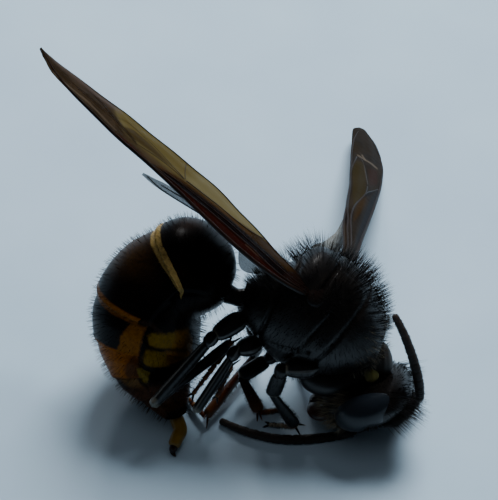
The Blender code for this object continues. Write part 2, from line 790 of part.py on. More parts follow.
def spurs(knee, ankle, toe):
    """The two spurs at a shin's end and the thorns along it, slanting towards the foot."""
    along = (ankle - knee).normalized()
    across = along.cross(toe - ankle).normalized()
    outward = along.cross(across)
    length = (ankle - knee).length
    made = []
    for number in range(THORNS):
        root = knee + along * length * (0.4 + 0.45 * number / THORNS)
        swing = across * (-1) ** number + outward * 0.5
        made.append(spine(root, along * 0.8 + swing * 0.7, THORN_LENGTH))
    for hand in (1, -1):
        root = ankle - along * (GAP + 0.45)
        made.append(spine(root, along * 0.9 + across * hand * 0.5 + outward * 0.35, SPUR_LENGTH))
    return made


def spine(root, direction, length):
    """A tapered spine that starts inside what it grows from."""
    tip = root + direction.normalized() * length
    return rod([root, root.lerp(tip, 0.6), tip], [SPINE_RADIUS, SPINE_RADIUS * 0.8, SPINE_RADIUS * 0.3], 5)


def claws(ankle, toe):
    """The pair of hooked claws at a foot's end."""
    along = (toe - ankle).normalized()
    across = along.cross(Vector((0, 0, 1))).normalized()
    made = []
    for hand in (1, -1):
        middle = toe + along * CLAW_LENGTH * 0.5 + across * hand * 0.16
        tip = toe + along * CLAW_LENGTH * 0.85 + across * hand * 0.24 - Vector((0, 0, 0.1))
        made.append(rod([toe - along * 0.08, middle, tip], [0.09, 0.07, 0.03], 5))
    return made


def rest_on_table():
    """Gives every node that dips into the table's top a small flat at that level."""
    for node in bpy.data.objects:
        skin = bmesh.new()
        skin.from_mesh(node.data)
        if min(vertex.co.z for vertex in skin.verts) < 0:
            slice_off(skin, Vector((0, 0, 0)), Vector((0, 0, -1)))
            skin.to_mesh(node.data)
        skin.free()


def to_metres():
    """Turns every node from millimetres to metres."""
    for item in bpy.data.objects:
        item.data.transform(Matrix.Scale(METRES, 4))


clear_scene()
head_form = head_skin()
build_thorax()
build_head(head_form)
build_waist()
build_gaster()
build_sting()
build_wings()
build_antennae(head_form)
build_legs()
head_form.free()
rest_on_table()
to_metres()
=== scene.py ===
# %% [markdown]
# # A dead Asian hornet, laid on a table
#
# The solids come as a fixed frame, and this lesson dresses them. A hornet is a hard shell, so every
# part here is a skin worked out by a formula from a few rings: the same formula that shapes a skin also
# says where its hairs grow, so the coat always sits on the shell.

import json
import math

import bmesh
import bpy
import numpy as np
from mathutils import Matrix, Vector

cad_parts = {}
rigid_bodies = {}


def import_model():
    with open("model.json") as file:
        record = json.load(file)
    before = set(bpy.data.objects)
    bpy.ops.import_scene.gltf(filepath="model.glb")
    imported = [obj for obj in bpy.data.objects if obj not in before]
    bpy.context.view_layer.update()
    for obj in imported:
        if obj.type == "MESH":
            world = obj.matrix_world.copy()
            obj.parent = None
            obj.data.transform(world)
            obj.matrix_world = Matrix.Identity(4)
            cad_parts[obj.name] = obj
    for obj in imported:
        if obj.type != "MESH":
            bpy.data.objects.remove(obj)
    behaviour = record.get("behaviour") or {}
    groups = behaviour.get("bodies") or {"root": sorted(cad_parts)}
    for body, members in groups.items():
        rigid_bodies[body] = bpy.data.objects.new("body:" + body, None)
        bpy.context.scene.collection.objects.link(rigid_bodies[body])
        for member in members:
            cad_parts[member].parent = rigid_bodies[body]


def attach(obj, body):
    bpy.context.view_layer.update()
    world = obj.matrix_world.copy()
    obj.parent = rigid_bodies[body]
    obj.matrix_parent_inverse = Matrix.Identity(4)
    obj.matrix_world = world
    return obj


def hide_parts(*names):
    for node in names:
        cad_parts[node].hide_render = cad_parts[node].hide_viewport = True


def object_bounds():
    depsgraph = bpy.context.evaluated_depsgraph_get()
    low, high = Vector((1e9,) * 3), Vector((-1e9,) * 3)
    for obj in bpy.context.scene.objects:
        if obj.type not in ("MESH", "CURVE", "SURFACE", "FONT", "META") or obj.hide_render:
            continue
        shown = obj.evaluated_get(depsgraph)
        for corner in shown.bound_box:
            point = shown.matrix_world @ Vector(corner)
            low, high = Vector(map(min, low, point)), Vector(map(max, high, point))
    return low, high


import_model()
solid_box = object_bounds()
print("solids' box in mm:", [[round(1000 * x, 2) for x in corner] for corner in solid_box])

# %% [markdown]
# ## How the hornet lies
#
# The real one has dropped on its left side with its nose down, and its own axes are turned to match.
# Everything is drawn in millimetres in the hornet's axes (forward, left, towards its back, with the
# middle of the thorax at zero) and laid down by one matrix, which is easier than drawing it askew.

# %% The pose
STAND_X = 4.69
STAND_Y = -7.53
RIDE_HEIGHT = 6.36
HEADING = math.radians(-15.8)
NOSE_DOWN = math.radians(13.7)
LEAN = math.radians(27.9)
METRES = 0.001

POSE = (Matrix.Translation((STAND_X, STAND_Y, RIDE_HEIGHT)) @ Matrix.Rotation(HEADING, 4, "Z")
        @ Matrix.Rotation(NOSE_DOWN, 4, "Y") @ Matrix.Rotation(-LEAN, 4, "X"))
TURN = np.array(POSE.to_3x3())
SHIFT = np.array(POSE.translation)
SKYWARD = TURN[2]  # straight up from the table, in the hornet's axes


def laid(points):
    """Places in the hornet's axes, in millimetres, as places on the table."""
    return np.asarray(points, float) @ TURN.T + SHIFT


def from_table(x, y, height):
    """A place on the table, counted from under the thorax, in the hornet's axes."""
    return (np.array([STAND_X + x, STAND_Y + y, height]) - SHIFT) @ TURN


print("middle of the thorax on the table:", np.round(laid([0, 0, 0]), 2))

# %% [markdown]
# ## Smooth forms from rings
#
# A hornet's shell has no edges but at its seams. Each part is a row of oval rings, and a Catmull-Rom
# curve through the rings' numbers gives a ring anywhere between them. Sculpting could make such forms too,
# but rings keep every measure a number that can be changed. Two small curves, a smooth step and a rounded
# hill, press the seams in and swell the plates.

# %% Curves
def through(rows, at):
    """The numbers of a smooth curve through the rows, at places counted in rows."""
    rows = np.asarray(rows, float)
    padded = np.vstack([2 * rows[0] - rows[1], rows, 2 * rows[-1] - rows[-2]])
    at = np.asarray(at, float)
    index = np.clip(np.floor(at).astype(int), 0, len(rows) - 2)
    t = (at - index)[..., None]
    before, start, end, after = (padded[index + step] for step in range(4))
    return 0.5 * (2 * start + (end - before) * t + (2 * before - 5 * start + 4 * end - after) * t ** 2
                  + (3 * start - before - 3 * end + after) * t ** 3)


def unit(vectors):
    """Vectors of length one."""
    vectors = np.asarray(vectors, float)
    return vectors / np.maximum(np.linalg.norm(vectors, axis=-1, keepdims=True), 1e-9)


def rises(x, start, end):
    """A smooth step from 0 at start to 1 at end."""
    t = np.clip((x - start) / (end - start), 0, 1)
    return t * t * (3 - 2 * t)


def bump(x, width):
    """A rounded hill of height one about zero."""
    return np.exp(-(x / width) ** 2)


print("a ring half way between rows 0 and 1 of [[0], [2]]:", through([[0], [2]], np.array([0.5]))[0])

# %% [markdown]
# ## A skin as a grid
#
# A skin is a grid of points worked out from its formula, closed round on itself and capped at both ends.
# The place on that grid (round, along) serves as its unwrap, so that bands of colour can be drawn on the
# shell by where they grow rather than by where they happen to lie in space.

# %% Skins
def grid_of(shape, sides, rows, first=0.0, last=1.0):
    """Points, four-sided faces and their unwrap for a skin that closes round on itself."""
    along, around = np.meshgrid(np.linspace(first, last, rows), np.arange(sides + 1) / sides, indexing="ij")
    points = shape(around[:, :-1].ravel(), along[:, :-1].ravel())
    corner = np.arange(rows * sides).reshape(rows, sides)
    across = np.roll(corner, -1, axis=1)
    faces = np.stack([corner[:-1], corner[1:], across[1:], across[:-1]], axis=-1).reshape(-1, 4)
    place = np.stack([around, along], axis=-1)
    unwrap = np.stack([place[:-1, :-1], place[1:, :-1], place[1:, 1:], place[:-1, 1:]], axis=2)
    ends = [list(corner[0]), list(corner[-1][::-1])]
    return points, faces, unwrap.reshape(-1, 4, 2), ends


def skin(shape, sides, rows, first=0.0, last=1.0, finish=0, sheet=(0, 0, 1, 1)):
    """One closed skin, ready for piece(); sheet is its corner and size on the piece's unwrap."""
    points, faces, unwrap, ends = grid_of(shape, sides, rows, first, last)
    corner, size = np.array(sheet[:2]), np.array(sheet[2:])
    turns = np.arange(sides) / sides
    caps = [np.stack([turns, np.full(sides, first)], axis=1),
            np.stack([turns[::-1], np.full(sides, last)], axis=1)]
    faces = [*faces.tolist(), *ends]
    unwrap = np.concatenate([unwrap.reshape(-1, 2), *caps]) * size + corner
    return {"points": points, "faces": faces, "unwrap": unwrap, "finish": finish}


print("faces on a skin of 8 sides and 3 rows:", len(skin(lambda u, v: np.zeros((len(u), 3)), 8, 3)["faces"]))

# %% [markdown]
# ## Making a piece
#
# Skins that belong together become one mesh, set on the frame, and the solids they stand for are hidden.
# A body rests with its whole weight, so a point that would lie below the table is pressed flat on it.

# %% From skins to pieces
ROOT = "root"
SEAM_ANGLE = 55


def joined(parts):
    """Several skins as one list of points, faces, unwrap and finishes."""
    points, faces, unwrap, finishes, start = [], [], [], [], 0
    for part in parts:
        points.append(part["points"])
        faces += [[index + start for index in face] for face in part["faces"]]
        unwrap.append(part["unwrap"])
        finishes += [part["finish"]] * len(part["faces"])
        start += len(part["points"])
    return np.concatenate(points), faces, np.concatenate(unwrap), finishes


def piece(name, parts, finishes, replaced=()):
    """Makes the parts one mesh on the frame, with its finishes, in place of the solids named."""
    points, faces, unwrap, which = joined(parts)
    spots = laid(points)
    spots[:, 2] = np.maximum(spots[:, 2], 0)
    mesh = bpy.data.meshes.new(name)
    mesh.from_pydata((spots * METRES).tolist(), [], faces)
    mesh.uv_layers.new(name="Unwrap").data.foreach_set("uv", np.asarray(unwrap, np.float32).ravel())
    for finish in finishes:
        mesh.materials.append(finish)
    mesh.polygons.foreach_set("material_index", which)
    form = bmesh.new()
    form.from_mesh(mesh)
    bmesh.ops.recalc_face_normals(form, faces=form.faces)
    form.to_mesh(mesh)
    form.free()
    mesh.shade_smooth()
    mesh.set_sharp_from_angle(angle=math.radians(SEAM_ANGLE))
    made = bpy.data.objects.new(name, mesh)
    bpy.context.collection.objects.link(made)
    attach(made, ROOT)
    if replaced:
        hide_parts(*replaced)
    mesh.calc_loop_triangles()
    print(f"{name}: {len(mesh.loop_triangles)} triangles")
    return made


print("every piece rides on the body:", ROOT)

# %% [markdown]
# ## Tubes and beads
#
# Limbs, jaws, veins and feelers are all long rounded cases. A tube is a ring carried along a line, with a
# radius that swells and narrows and a dome at each end; a bead is a ball, squashed where it should be
# flat. Blender's bevelled curves make tubes as well, but a tube that is a formula, as the rings are, also
# tells the hairs where to stand.

# %% Tubes and beads
TANGENT_STEP = 0.01


def tube(points, radii, flat=1.0, flat_way=None, power=2.0):
    """A rounded limb along points; flat squeezes its section across flat_way. Its ends are domes."""
    line = np.asarray([np.asarray(point, float) for point in points])
    count = len(line) - 1
    lengths = np.linalg.norm(np.diff(line, axis=0), axis=1).sum()

    def form(around, along):
        along = np.clip(np.asarray(along, float), 0, 1)
        at = along * count
        centre = through(line, at)
        before, after = np.clip(at - TANGENT_STEP, 0, count), np.clip(at + TANGENT_STEP, 0, count)
        ahead = unit(through(line, after) - through(line, before))
        guide = np.array([0.13, 0.21, 0.97]) if flat_way is None else np.asarray(flat_way, float)
        side = unit(np.cross(ahead, guide))
        up = np.cross(side, ahead)
        radius = through(np.asarray(radii, float)[:, None], along * (len(radii) - 1))[..., 0]
        near_end = np.minimum(along, 1 - along) * lengths / np.maximum(radius, 1e-6)
        dome = np.sqrt(np.clip(1 - (1 - np.clip(near_end, 0, 1)) ** power, 0.0004, 1))
        turn = 2 * math.pi * around
        wide = (radius * dome * np.cos(turn))[..., None]
        high = (radius * dome * np.sin(turn) * flat)[..., None]
        return centre + side * wide + up * high
    return form


def bead(centre, radius, way, squash=1.0):
    """A round bead, squashed along a direction."""
    way = unit(way)
    side = unit(np.cross(way, [0.3, 0.5, 0.8]))
    other = np.cross(way, side)

    def form(around, along):
        lift = np.clip(np.asarray(along, float) * 2 - 1, -0.9995, 0.9995)
        reach = radius * np.sqrt(1 - lift ** 2)
        turn = 2 * math.pi * np.asarray(around, float)
        return (np.asarray(centre) + side * (reach * np.cos(turn))[..., None]
                + other * (reach * np.sin(turn))[..., None] + way * (radius * squash * lift)[..., None])
    return form


print("top of a straight tube:", tube([[0, 0, 0], [4, 0, 0]], [1, 1])(np.array([0.25]), np.array([0.5]))[0])

# %% [markdown]
# ## Colours and nodes
#
# Colours are written as they look on a screen (sRGB hex) and made linear once, because light adds up in
# linear numbers. Every material is a small graph of nodes: one helper adds any of them with its settings
# and its inputs, and the shader's own inputs are fed in the same way.

# %% Colour and node helpers
def shade(hexed):
    """An sRGB hex colour as linear red, green, blue and full cover."""
    parts = [int(hexed[start:start + 2], 16) / 255 for start in (1, 3, 5)]
    return (*[x / 12.92 if x <= 0.04045 else ((x + 0.055) / 1.055) ** 2.4 for x in parts], 1.0)


def feed(tree, taker, sockets):
    """Gives a node's inputs, by name or number, a value or another node's output."""
    for name, value in sockets.items():
        if isinstance(value, bpy.types.NodeSocket):
            tree.links.new(value, taker.inputs[name])
        else:
            taker.inputs[name].default_value = value


def node(tree, kind, sockets=None, **settings):
    """Adds a node with its settings, and feeds its inputs."""
    made = tree.nodes.new(kind)
    for name, value in settings.items():
        setattr(made, name, value)
    feed(tree, made, sockets or {})
    return made


def finish_of(name):
    """A new material: its node graph, its shader, and where the surface is, in millimetres."""
    made = bpy.data.materials.new(name)
    made.use_nodes = True
    tree = made.node_tree
    place = node(tree, "ShaderNodeTexCoord").outputs["Object"]
    in_mm = node(tree, "ShaderNodeVectorMath", {0: place, 1: (1000, 1000, 1000)}, operation="MULTIPLY")
    return made, tree, tree.nodes["Principled BSDF"], in_mm.outputs[0]


def grown_on(tree, label="Unwrap"):
    """Where a place grows: its numbers round and along on one of the piece's maps."""
    grown = node(tree, "ShaderNodeSeparateXYZ", {0: node(tree, "ShaderNodeUVMap", uv_map=label).outputs[0]})
    return grown.outputs["X"], grown.outputs["Y"]


print("mid grey, made linear:", round(shade("#808080")[0], 3))

# %% [markdown]
# ## Black cuticle of the head and thorax
#
# A hornet's shell is chitin, laid down in layers and hardened, much like a tough varnish over leather.
# On the head and thorax it is brown-black and finely pitted, so highlights break up into a satin sheen.
# The pits are about a tenth of a millimetre apart. An image could hold them, but Voronoi cells keep their
# spacing over the whole shell without one.

# %% Pitted cuticle
PIT_SPACING = 0.11


def pitted_cuticle(name, dark, warm, roughness, pit_depth=0.012, pit_spacing=PIT_SPACING):
    """Satin chitin with fine pits: two close browns that drift over the shell."""
    made, tree, shader, place = finish_of(name)
    drift = node(tree, "ShaderNodeTexNoise", {"Vector": place, "Scale": 0.7, "Detail": 3.0}).outputs["Fac"]
    spread = node(tree, "ShaderNodeMapRange", {"Value": drift, "From Min": 0.42, "From Max": 0.68})
    colour = node(tree, "ShaderNodeMix", {"Factor": spread.outputs[0], 6: shade(dark), 7: shade(warm)},
                  data_type="RGBA")
    pits = node(tree, "ShaderNodeTexVoronoi", {"Vector": place, "Scale": 1 / pit_spacing, "Randomness": 0.9})
    bowl = node(tree, "ShaderNodeMapRange",
                {"Value": pits.outputs["Distance"], "From Min": 0.1, "From Max": 0.45})
    swell = node(tree, "ShaderNodeBump",
                 {"Height": bowl.outputs[0], "Strength": 0.5, "Distance": pit_depth * METRES})
    gloss = node(tree, "ShaderNodeMapRange", {"Value": drift, "From Min": 0.3, "From Max": 0.7,
                                              "To Min": roughness - 0.07, "To Max": roughness + 0.09})
    feed(tree, shader, {"Base Color": colour.outputs[2], "Roughness": gloss.outputs[0],
                        "Normal": swell.outputs[0], "IOR": 1.5, "Specular IOR Level": 0.36})
    return made


black_shell = pitted_cuticle("pitted_black_chitin", "#0a0909", "#13100e", 0.34)
print("made", black_shell.name)

# %% [markdown]
# ## The thorax
#
# The thorax is the box that carries wings and legs. Its back is a broad shield with a domed scutellum
# behind it, parted by seams where plates of shell meet. One skin covers all of it; the seams are
# pressed into it by formula, each as a narrow valley beside a line, so no gap shows between plates.

# %% The thorax's form
THORAX_LENGTH = 8.4
THORAX_HEIGHT = 7.2
THORAX_WIDTH = 5.8
THORAX_BACK = -0.51
THORAX_RINGS = [
    # along, top, bottom, half width, as shares of its length, height and width
    (0.00, 0.030, -0.190, 0.13),
    (0.06, 0.130, -0.250, 0.29),
    (0.15, 0.215, -0.320, 0.39),
    (0.25, 0.350, -0.390, 0.45),
    (0.34, 0.455, -0.450, 0.48),
    (0.44, 0.480, -0.490, 0.50),
    (0.55, 0.480, -0.490, 0.50),
    (0.67, 0.430, -0.440, 0.50),
    (0.79, 0.330, -0.370, 0.46),
    (0.90, 0.190, -0.280, 0.37),
    (0.97, 0.070, -0.200, 0.24),
]
SQUARENESS = 2 / 2.2


def seams(x, y, z):
    """How far the shell is pressed in or swells at a place on the thorax, in millimetres."""
    on_back = rises(z, 1.2, 2.4)
    on_side = 1 - rises(z, 1.0, 2.2)
    collar = 0.944 * (x - 1.342 - 0.349 * z)
    rear = x + 2.54 - 0.064 * z
    shield_edge = x - 0.13 + 0.09 * y ** 2
    scutellum_edge = x + 1.85 + 0.05 * y ** 2
    press = -0.16 * bump(collar, 0.10) - 0.20 * bump(rear, 0.13)
    press -= on_back * (0.24 * bump(shield_edge, 0.11) + 0.22 * bump(scutellum_edge, 0.12))
    press += on_back * 0.20 * bump(x + 0.9, 0.65) * bump(y, 1.7)
    press -= on_back * 0.05 * (bump(abs(y) - 0.95, 0.06) + bump(y, 0.05)) * rises(x, 0.2, 0.6)
    slant = x - 0.35 * z - 0.1
    press -= on_side * 0.13 * bump(slant, 0.09)
    press -= on_side * 0.10 * bump(z + 1.3 - 0.25 * x, 0.08) * rises(x, -2.2, -1.8) * (1 - rises(x, 0.2, 0.6))
    press += on_side * 0.08 * bump(x - 1.0, 0.8) * bump(z + 0.6, 1.4)
    return press


def thorax(around, along):
    """A place on the thorax's shell."""
    rings = through(THORAX_RINGS, along * (len(THORAX_RINGS) - 1))
    share, top, bottom, half_width = np.moveaxis(rings, -1, 0)
    turn = 2 * math.pi * around
    across = np.sign(np.cos(turn)) * np.abs(np.cos(turn)) ** SQUARENESS
    rise = np.sign(np.sin(turn)) * np.abs(np.sin(turn)) ** SQUARENESS
    x = THORAX_LENGTH * (THORAX_BACK + share)
    y = THORAX_WIDTH * half_width * across
    z = THORAX_HEIGHT * ((top + bottom) / 2 + (top - bottom) / 2 * rise)
    press = seams(x, y, z)
    return np.stack([x, y + across * press, z + rise * press], axis=-1)


print("highest place on the thorax in mm:", np.round(thorax(np.array([0.25]), np.array([0.5]))[0], 2))

# %% [markdown]
# ### The fore hips
#
# The fore hips are thick cones that fill the space between breast and head. They are two tubes in the
# thorax's own piece, so its pitted shell runs on over them.

# %% The thorax's shell
FORE_HIP_RADII = [0.7, 0.85, 0.85, 0.78, 0.6]


def fore_hip(hand):
    """The thick fore hip on one side, from behind forwards."""
    return tube([[0.2, hand, -2.7], [1.2, hand, -3.3], [2.2, hand * 0.85, -3.2], [3.2, hand * 0.7, -2.6],
                 [3.9, hand * 0.6, -2.1]], FORE_HIP_RADII)


piece("thorax_shell", [skin(thorax, 160, 150), *[skin(fore_hip(hand), 36, 48) for hand in (1, -1)]],
      [black_shell], ["pronotum", "mesothorax", "propodeum"])

# %% [markdown]
# ## The head
#
# A hornet's head hangs like a shield, broad at the crown and drawn in to the mouth. It has axes of its
# own, bent under the thorax. The mouth shield (clypeus) is a raised plate on the lower face, the feelers
# leave two small pits in the middle of the face, and the nape is hollow where the neck meets it. Rings
# give the shield, and hills and hollows added to them give the face, so that it stays one closed skin.

# %% The head's form
HEAD_WIDTH = 5.6
HEAD_HEIGHT = 5.0
HEAD_DEPTH = 3.2
HEAD_BEND = math.radians(31.6)
HEAD_UP = np.array([math.cos(HEAD_BEND), 0, math.sin(HEAD_BEND)])
HEAD_OUT = np.array([math.sin(HEAD_BEND), 0, -math.cos(HEAD_BEND)])
HEAD_CENTRE = np.array([4.25, 0, -3.75])
HEAD_RINGS = [
    # rise, half width, front, back, as shares of the head's height, width and depth
    (-0.47, 0.17, 0.22, 0.20),
    (-0.40, 0.29, 0.36, 0.31),
    (-0.25, 0.39, 0.47, 0.40),
    (-0.07, 0.46, 0.49, 0.46),
    (0.11, 0.50, 0.44, 0.50),
    (0.27, 0.49, 0.34, 0.50),
    (0.40, 0.43, 0.20, 0.44),
    (0.49, 0.29, 0.08, 0.30),
    (0.525, 0.14, 0.02, 0.15),
]


def on_head(left, up, out):
    """Places in the head's own axes, in the hornet's axes."""
    left, up, out = (np.asarray(value, float)[..., None] for value in (left, up, out))
    return HEAD_CENTRE + np.array([0, 1, 0]) * left + HEAD_UP * up + HEAD_OUT * out


def face_relief(left, up, front):
    """How far the face stands out or is pressed in, for the mouth shield, the feelers' pits and the brow."""
    shield = (left / 1.15) ** 2 + ((up + 1.25) / 1.05) ** 2
    relief = 0.14 * (1 - rises(shield, 0.8, 1.05)) - 0.06 * bump(np.sqrt(shield) - 1.07, 0.06)
    relief -= 0.12 * bump(np.hypot(abs(left) - 0.5, up - 0.35), 0.2)
    relief += 0.08 * bump(left, 0.25) * bump(up - 0.5, 0.45)
    relief -= 0.04 * bump(left, 0.05) * rises(up, 0.7, 0.9) * (1 - rises(up, 1.5, 1.8))
    return relief * front


def head(around, along):
    """A place on the head's shell."""
    rings = through(HEAD_RINGS, along * (len(HEAD_RINGS) - 1))
    rise, half_width, front, back = np.moveaxis(rings, -1, 0)
    turn = 2 * math.pi * around
    left = HEAD_WIDTH * half_width * np.cos(turn)
    facing = np.sin(turn)
    depth = np.where(facing > 0, front, back)
    up = HEAD_HEIGHT * rise
    out = HEAD_DEPTH * depth * facing + face_relief(left, up, rises(facing, 0.1, 0.5))
    out += 0.6 * bump(left, 1.4) * bump(up - 0.9, 0.85) * rises(-facing, 0.35, 0.8)
    return on_head(left, up, out)


print("middle of the head on the table:", np.round(laid(HEAD_CENTRE), 2))

# %% [markdown]
# ## Eyes
#
# A compound eye is a long dome down the side of the head, notched like a kidney beside the feeler. It is
# a skin of its own, sunk a little into the head, because its cornea has a finish of its own.

# %% The eyes' form
def eye(hand):
    """The form of one compound eye: a long dome, notched like a kidney on the face's side."""
    outward_way = unit(np.array([0, hand, 0]) + HEAD_OUT * 0.2)
    face_side = np.cross(outward_way, HEAD_UP) * hand
    face_side = face_side if face_side @ HEAD_OUT > 0 else -face_side

    def form(around, along):
        share = np.clip(along * 2 - 1, -0.9995, 0.9995)
        swell = np.sqrt(1 - share ** 2)
        aside = hand * (HEAD_WIDTH * 0.41 - 0.274 * share ** 2)
        centre = on_head(aside, 1.75 * share + 0.1, -0.1 - 0.25 * share)
        turn = 2 * math.pi * around
        notch = 1 - 0.3 * bump(share - 0.1, 0.22) * (np.cos(turn) > 0) * np.cos(turn)
        wide = 1.1 * swell * np.cos(turn) * notch
        high = np.where(np.sin(turn) > 0, 0.85, 0.5) * swell * np.sin(turn)
        return centre + face_side * wide[..., None] + outward_way * high[..., None]
    return form


print("eye's outermost place:", np.round(eye(-1)(np.array([0.25]), np.array([0.5])), 2))

# %% [markdown]
# ### Cornea
#
# The eye is a mosaic of some thousands of tiny lenses under one polished cornea. Seen from a step away it is
# a nearly black dome with a soft, cool light on it; its faint cool tint is a painted reflection, set in its
# colour. The lenses are about 0.03 mm across, too fine for the render, so the cells are drawn three times as
# large and very shallow.

# %% Polished cornea
LENS_WIDTH = 0.03
DRAWN_COARSER = 3


def polished_cornea():
    """Eye cuticle: almost black, with a faint cool tint painted in as reflected light, and a thin clear coat
    over shallow facets.
    """
    made, tree, shader, place = finish_of("polished_cornea")
    facets = node(tree, "ShaderNodeTexVoronoi",
                  {"Vector": place, "Scale": 1 / (LENS_WIDTH * DRAWN_COARSER), "Randomness": 0.25})
    swell = node(tree, "ShaderNodeBump",
                 {"Height": facets.outputs["Distance"], "Strength": 0.12, "Distance": 0.004 * METRES})
    drift = node(tree, "ShaderNodeTexNoise", {"Vector": place, "Scale": 0.9, "Detail": 1.0})
    # The faint blue in these two colours is a painted reflection of cool light on the cornea.
    colour = node(tree, "ShaderNodeMix",
                  {"Factor": drift.outputs["Fac"], 6: shade("#0f1419"), 7: shade("#181d24")},
                  data_type="RGBA")
    feed(tree, shader, {"Base Color": colour.outputs[2], "Normal": swell.outputs[0], "Roughness": 0.28,
                        "IOR": 1.45, "Specular IOR Level": 0.3, "Coat Weight": 0.08, "Coat Roughness": 0.1})
    return made


cornea = polished_cornea()
for hand, side in ((1, "left"), (-1, "right")):
    piece(f"eye_{side}_cornea", [skin(eye(hand), 64, 48)], [cornea], [f"eye_{side}"])

# %% [markdown]
# ## The head's shell, simple eyes and jaws
#
# The head takes the same satin chitin as the thorax. Three simple eyes sit on the crown as beads. The
# jaws are thick reddish-brown blades, curved to meet before the mouth, with worn teeth near the tips;
# a flattened tube that narrows towards its end gives that shape.

# %% Head and jaws
def jaw(hand):
    """One mandible: a curved blade, flat towards its tip."""
    low = -HEAD_HEIGHT * 0.47
    points = [on_head(hand * 0.95, low + 0.45, 0.1), on_head(hand * 1.08, low - 0.05, 0.15),
              on_head(hand * 1.0, low - 0.35, 0.1), on_head(hand * 0.65, low - 0.58, -0.05),
              on_head(hand * 0.2, low - 0.66, -0.2)]
    return tube(points, [0.5, 0.52, 0.5, 0.42, 0.2], flat=0.75, flat_way=HEAD_OUT)


shell_parts = [skin(head, 144, 120)]
for left, up, out in ((0.0, 1.75, 0.9), (0.34, 2.1, 0.66), (-0.34, 2.1, 0.66)):
    shell_parts.append(skin(bead(on_head(left, up, out), 0.17, HEAD_UP + HEAD_OUT, 0.8), 20, 14, finish=1))
piece("head_shell", shell_parts, [black_shell, cornea], ["head"])

brown_jaw = pitted_cuticle("worn_red_brown_chitin", "#1a0906", "#38160c", 0.3, 0.004, 0.2)
for hand, side in ((1, "left"), (-1, "right")):
    teeth = [skin(bead(on_head(hand * (0.6 - 0.2 * n), -HEAD_HEIGHT * 0.47 - 0.72 - 0.03 * n, -0.1), 0.16,
                       -HEAD_UP, 1.1), 14, 10) for n in range(3)]
    piece(f"jaw_{side}", [skin(jaw(hand), 28, 40), *teeth], [brown_jaw],
          [f"mandible_{side}"])

# %% [markdown]
# ## Neck and waist
#
# Two narrow places join the hard boxes: the neck, a wrinkled skin that lets the head turn, with a pale
# fold on each side, and the waist, a short dark stalk. Both are tubes. The wrinkles are a wave bump,
# because folds in the mesh would take many more faces for a place that hardly shows.

# %% Soft neck skin and the stalk
WRINKLE_SPACING = 0.16


def soft_skin(name, light, deep):
    """Folded skin between plates: matt, wrinkled and slightly see-through where it is thin."""
    made, tree, shader, place = finish_of(name)
    drift = node(tree, "ShaderNodeTexNoise", {"Vector": place, "Scale": 1.8, "Detail": 4.0})
    colour = node(tree, "ShaderNodeMix", {"Factor": drift.outputs["Fac"], 6: shade(deep), 7: shade(light)},
                  data_type="RGBA")
    folds = node(tree, "ShaderNodeTexWave",
                 {"Vector": place, "Scale": 0.5 / WRINKLE_SPACING / math.pi, "Distortion": 3.0})
    swell = node(tree, "ShaderNodeBump",
                 {"Height": folds.outputs["Fac"], "Strength": 0.5, "Distance": 0.03 * METRES})
    feed(tree, shader, {"Base Color": colour.outputs[2], "Normal": swell.outputs[0], "Roughness": 0.62,
                        "Subsurface Weight": 0.15, "Subsurface Scale": 0.2 * METRES})
    return made


neck_skin = soft_skin("folded_neck_skin", "#241d14", "#100c0a")
pale_fold = soft_skin("pale_neck_fold", "#6c6c40", "#454524")
neck = tube([[3.0, 0, -0.8], [3.9, 0, -1.35], on_head(0, 0.9, -0.9)], [0.85, 0.95, 0.75])
folds = [skin(bead([3.98, hand * 0.95, -1.95], 0.44, [0.1, hand * 0.8, 0.5], 0.55), 24, 16, finish=1)
         for hand in (1, -1)]
piece("neck_skin", [skin(neck, 40, 24), *folds], [neck_skin, pale_fold], ["neck"])
stalk = tube([[-3.7, 0, -0.65], [-4.6, 0, -0.85], [-5.5, 0, -0.8]], [0.75, 0.5, 0.7])
piece("waist_stalk", [skin(stalk, 36, 24)], [black_shell], ["waist"])

# %% [markdown]
# ### The wings' root scales
#
# A small brown scale (tegula) covers each forewing's root like a shoulder piece. Only its outline shows,
# so a flat bead on the slope of the thorax is enough, in thin chitin less polished than the shell.

# %% Root scales
scale_brown = pitted_cuticle("thin_brown_chitin_scale", "#080505", "#140c09", 0.42, 0.006)
scales = []
for hand in (1, -1):
    way = unit([0.1, hand * 0.75, 0.65])
    scales.append(skin(bead([-0.5, hand * THORAX_WIDTH * 0.405, 1.85], 0.6, way, 0.45), 32, 20))
piece("wing_scales", scales, [scale_brown])

# %% [markdown]
# ## The gaster: telescoped rings
#
# The rear of the body is a set of rings that slide into each other, each with its edge over the next.
# Six separate rings could be slid together, but one skin has no hidden faces: behind each edge it steps
# in, as if under a rim, and grows out again. Below the side line the back plates lap over the belly's.

# %% The gaster's form
GASTER_WIDTH = 7.2
GASTER_RINGS = [
    # upper x, upper z, lower x, lower z, half width as a share of the whole width, shift to the left
    (-5.00, -0.35, -5.05, -1.20, 0.07, 0.0),
    (-5.10, 0.60, -5.30, -1.60, 0.20, 0.0),
    (-5.80, 1.65, -5.65, -1.95, 0.34, 0.0),
    (-7.30, 2.40, -5.90, -2.25, 0.42, 0.0),
    (-8.75, 2.30, -6.05, -2.45, 0.45, 0.0),
    (-9.85, 1.50, -6.10, -2.70, 0.46, 0.0),
    (-11.35, -0.50, -5.80, -3.60, 0.50, 0.0),
    (-12.05, -2.75, -5.55, -4.50, 0.50, 0.0),
    (-11.75, -4.90, -5.45, -5.20, 0.46, 0.0),
    (-10.90, -6.40, -5.40, -5.85, 0.41, 0.0),
    (-9.40, -7.90, -5.30, -6.60, 0.32, -0.1),
    (-7.70, -8.45, -5.10, -7.20, 0.22, -0.5),
    (-6.10, -8.75, -4.90, -8.00, 0.12, -1.1),
]
LAST_RING = len(GASTER_RINGS) - 1
RIM_AT = np.array([0.0, 5.15, 7.15, 8.55, 9.85, 11.0, 12.0])
RIM_STEP = 0.05
SIDE_LINE = -0.11
BELLY_SET = 0.8
RIM_LEAN = 0.7
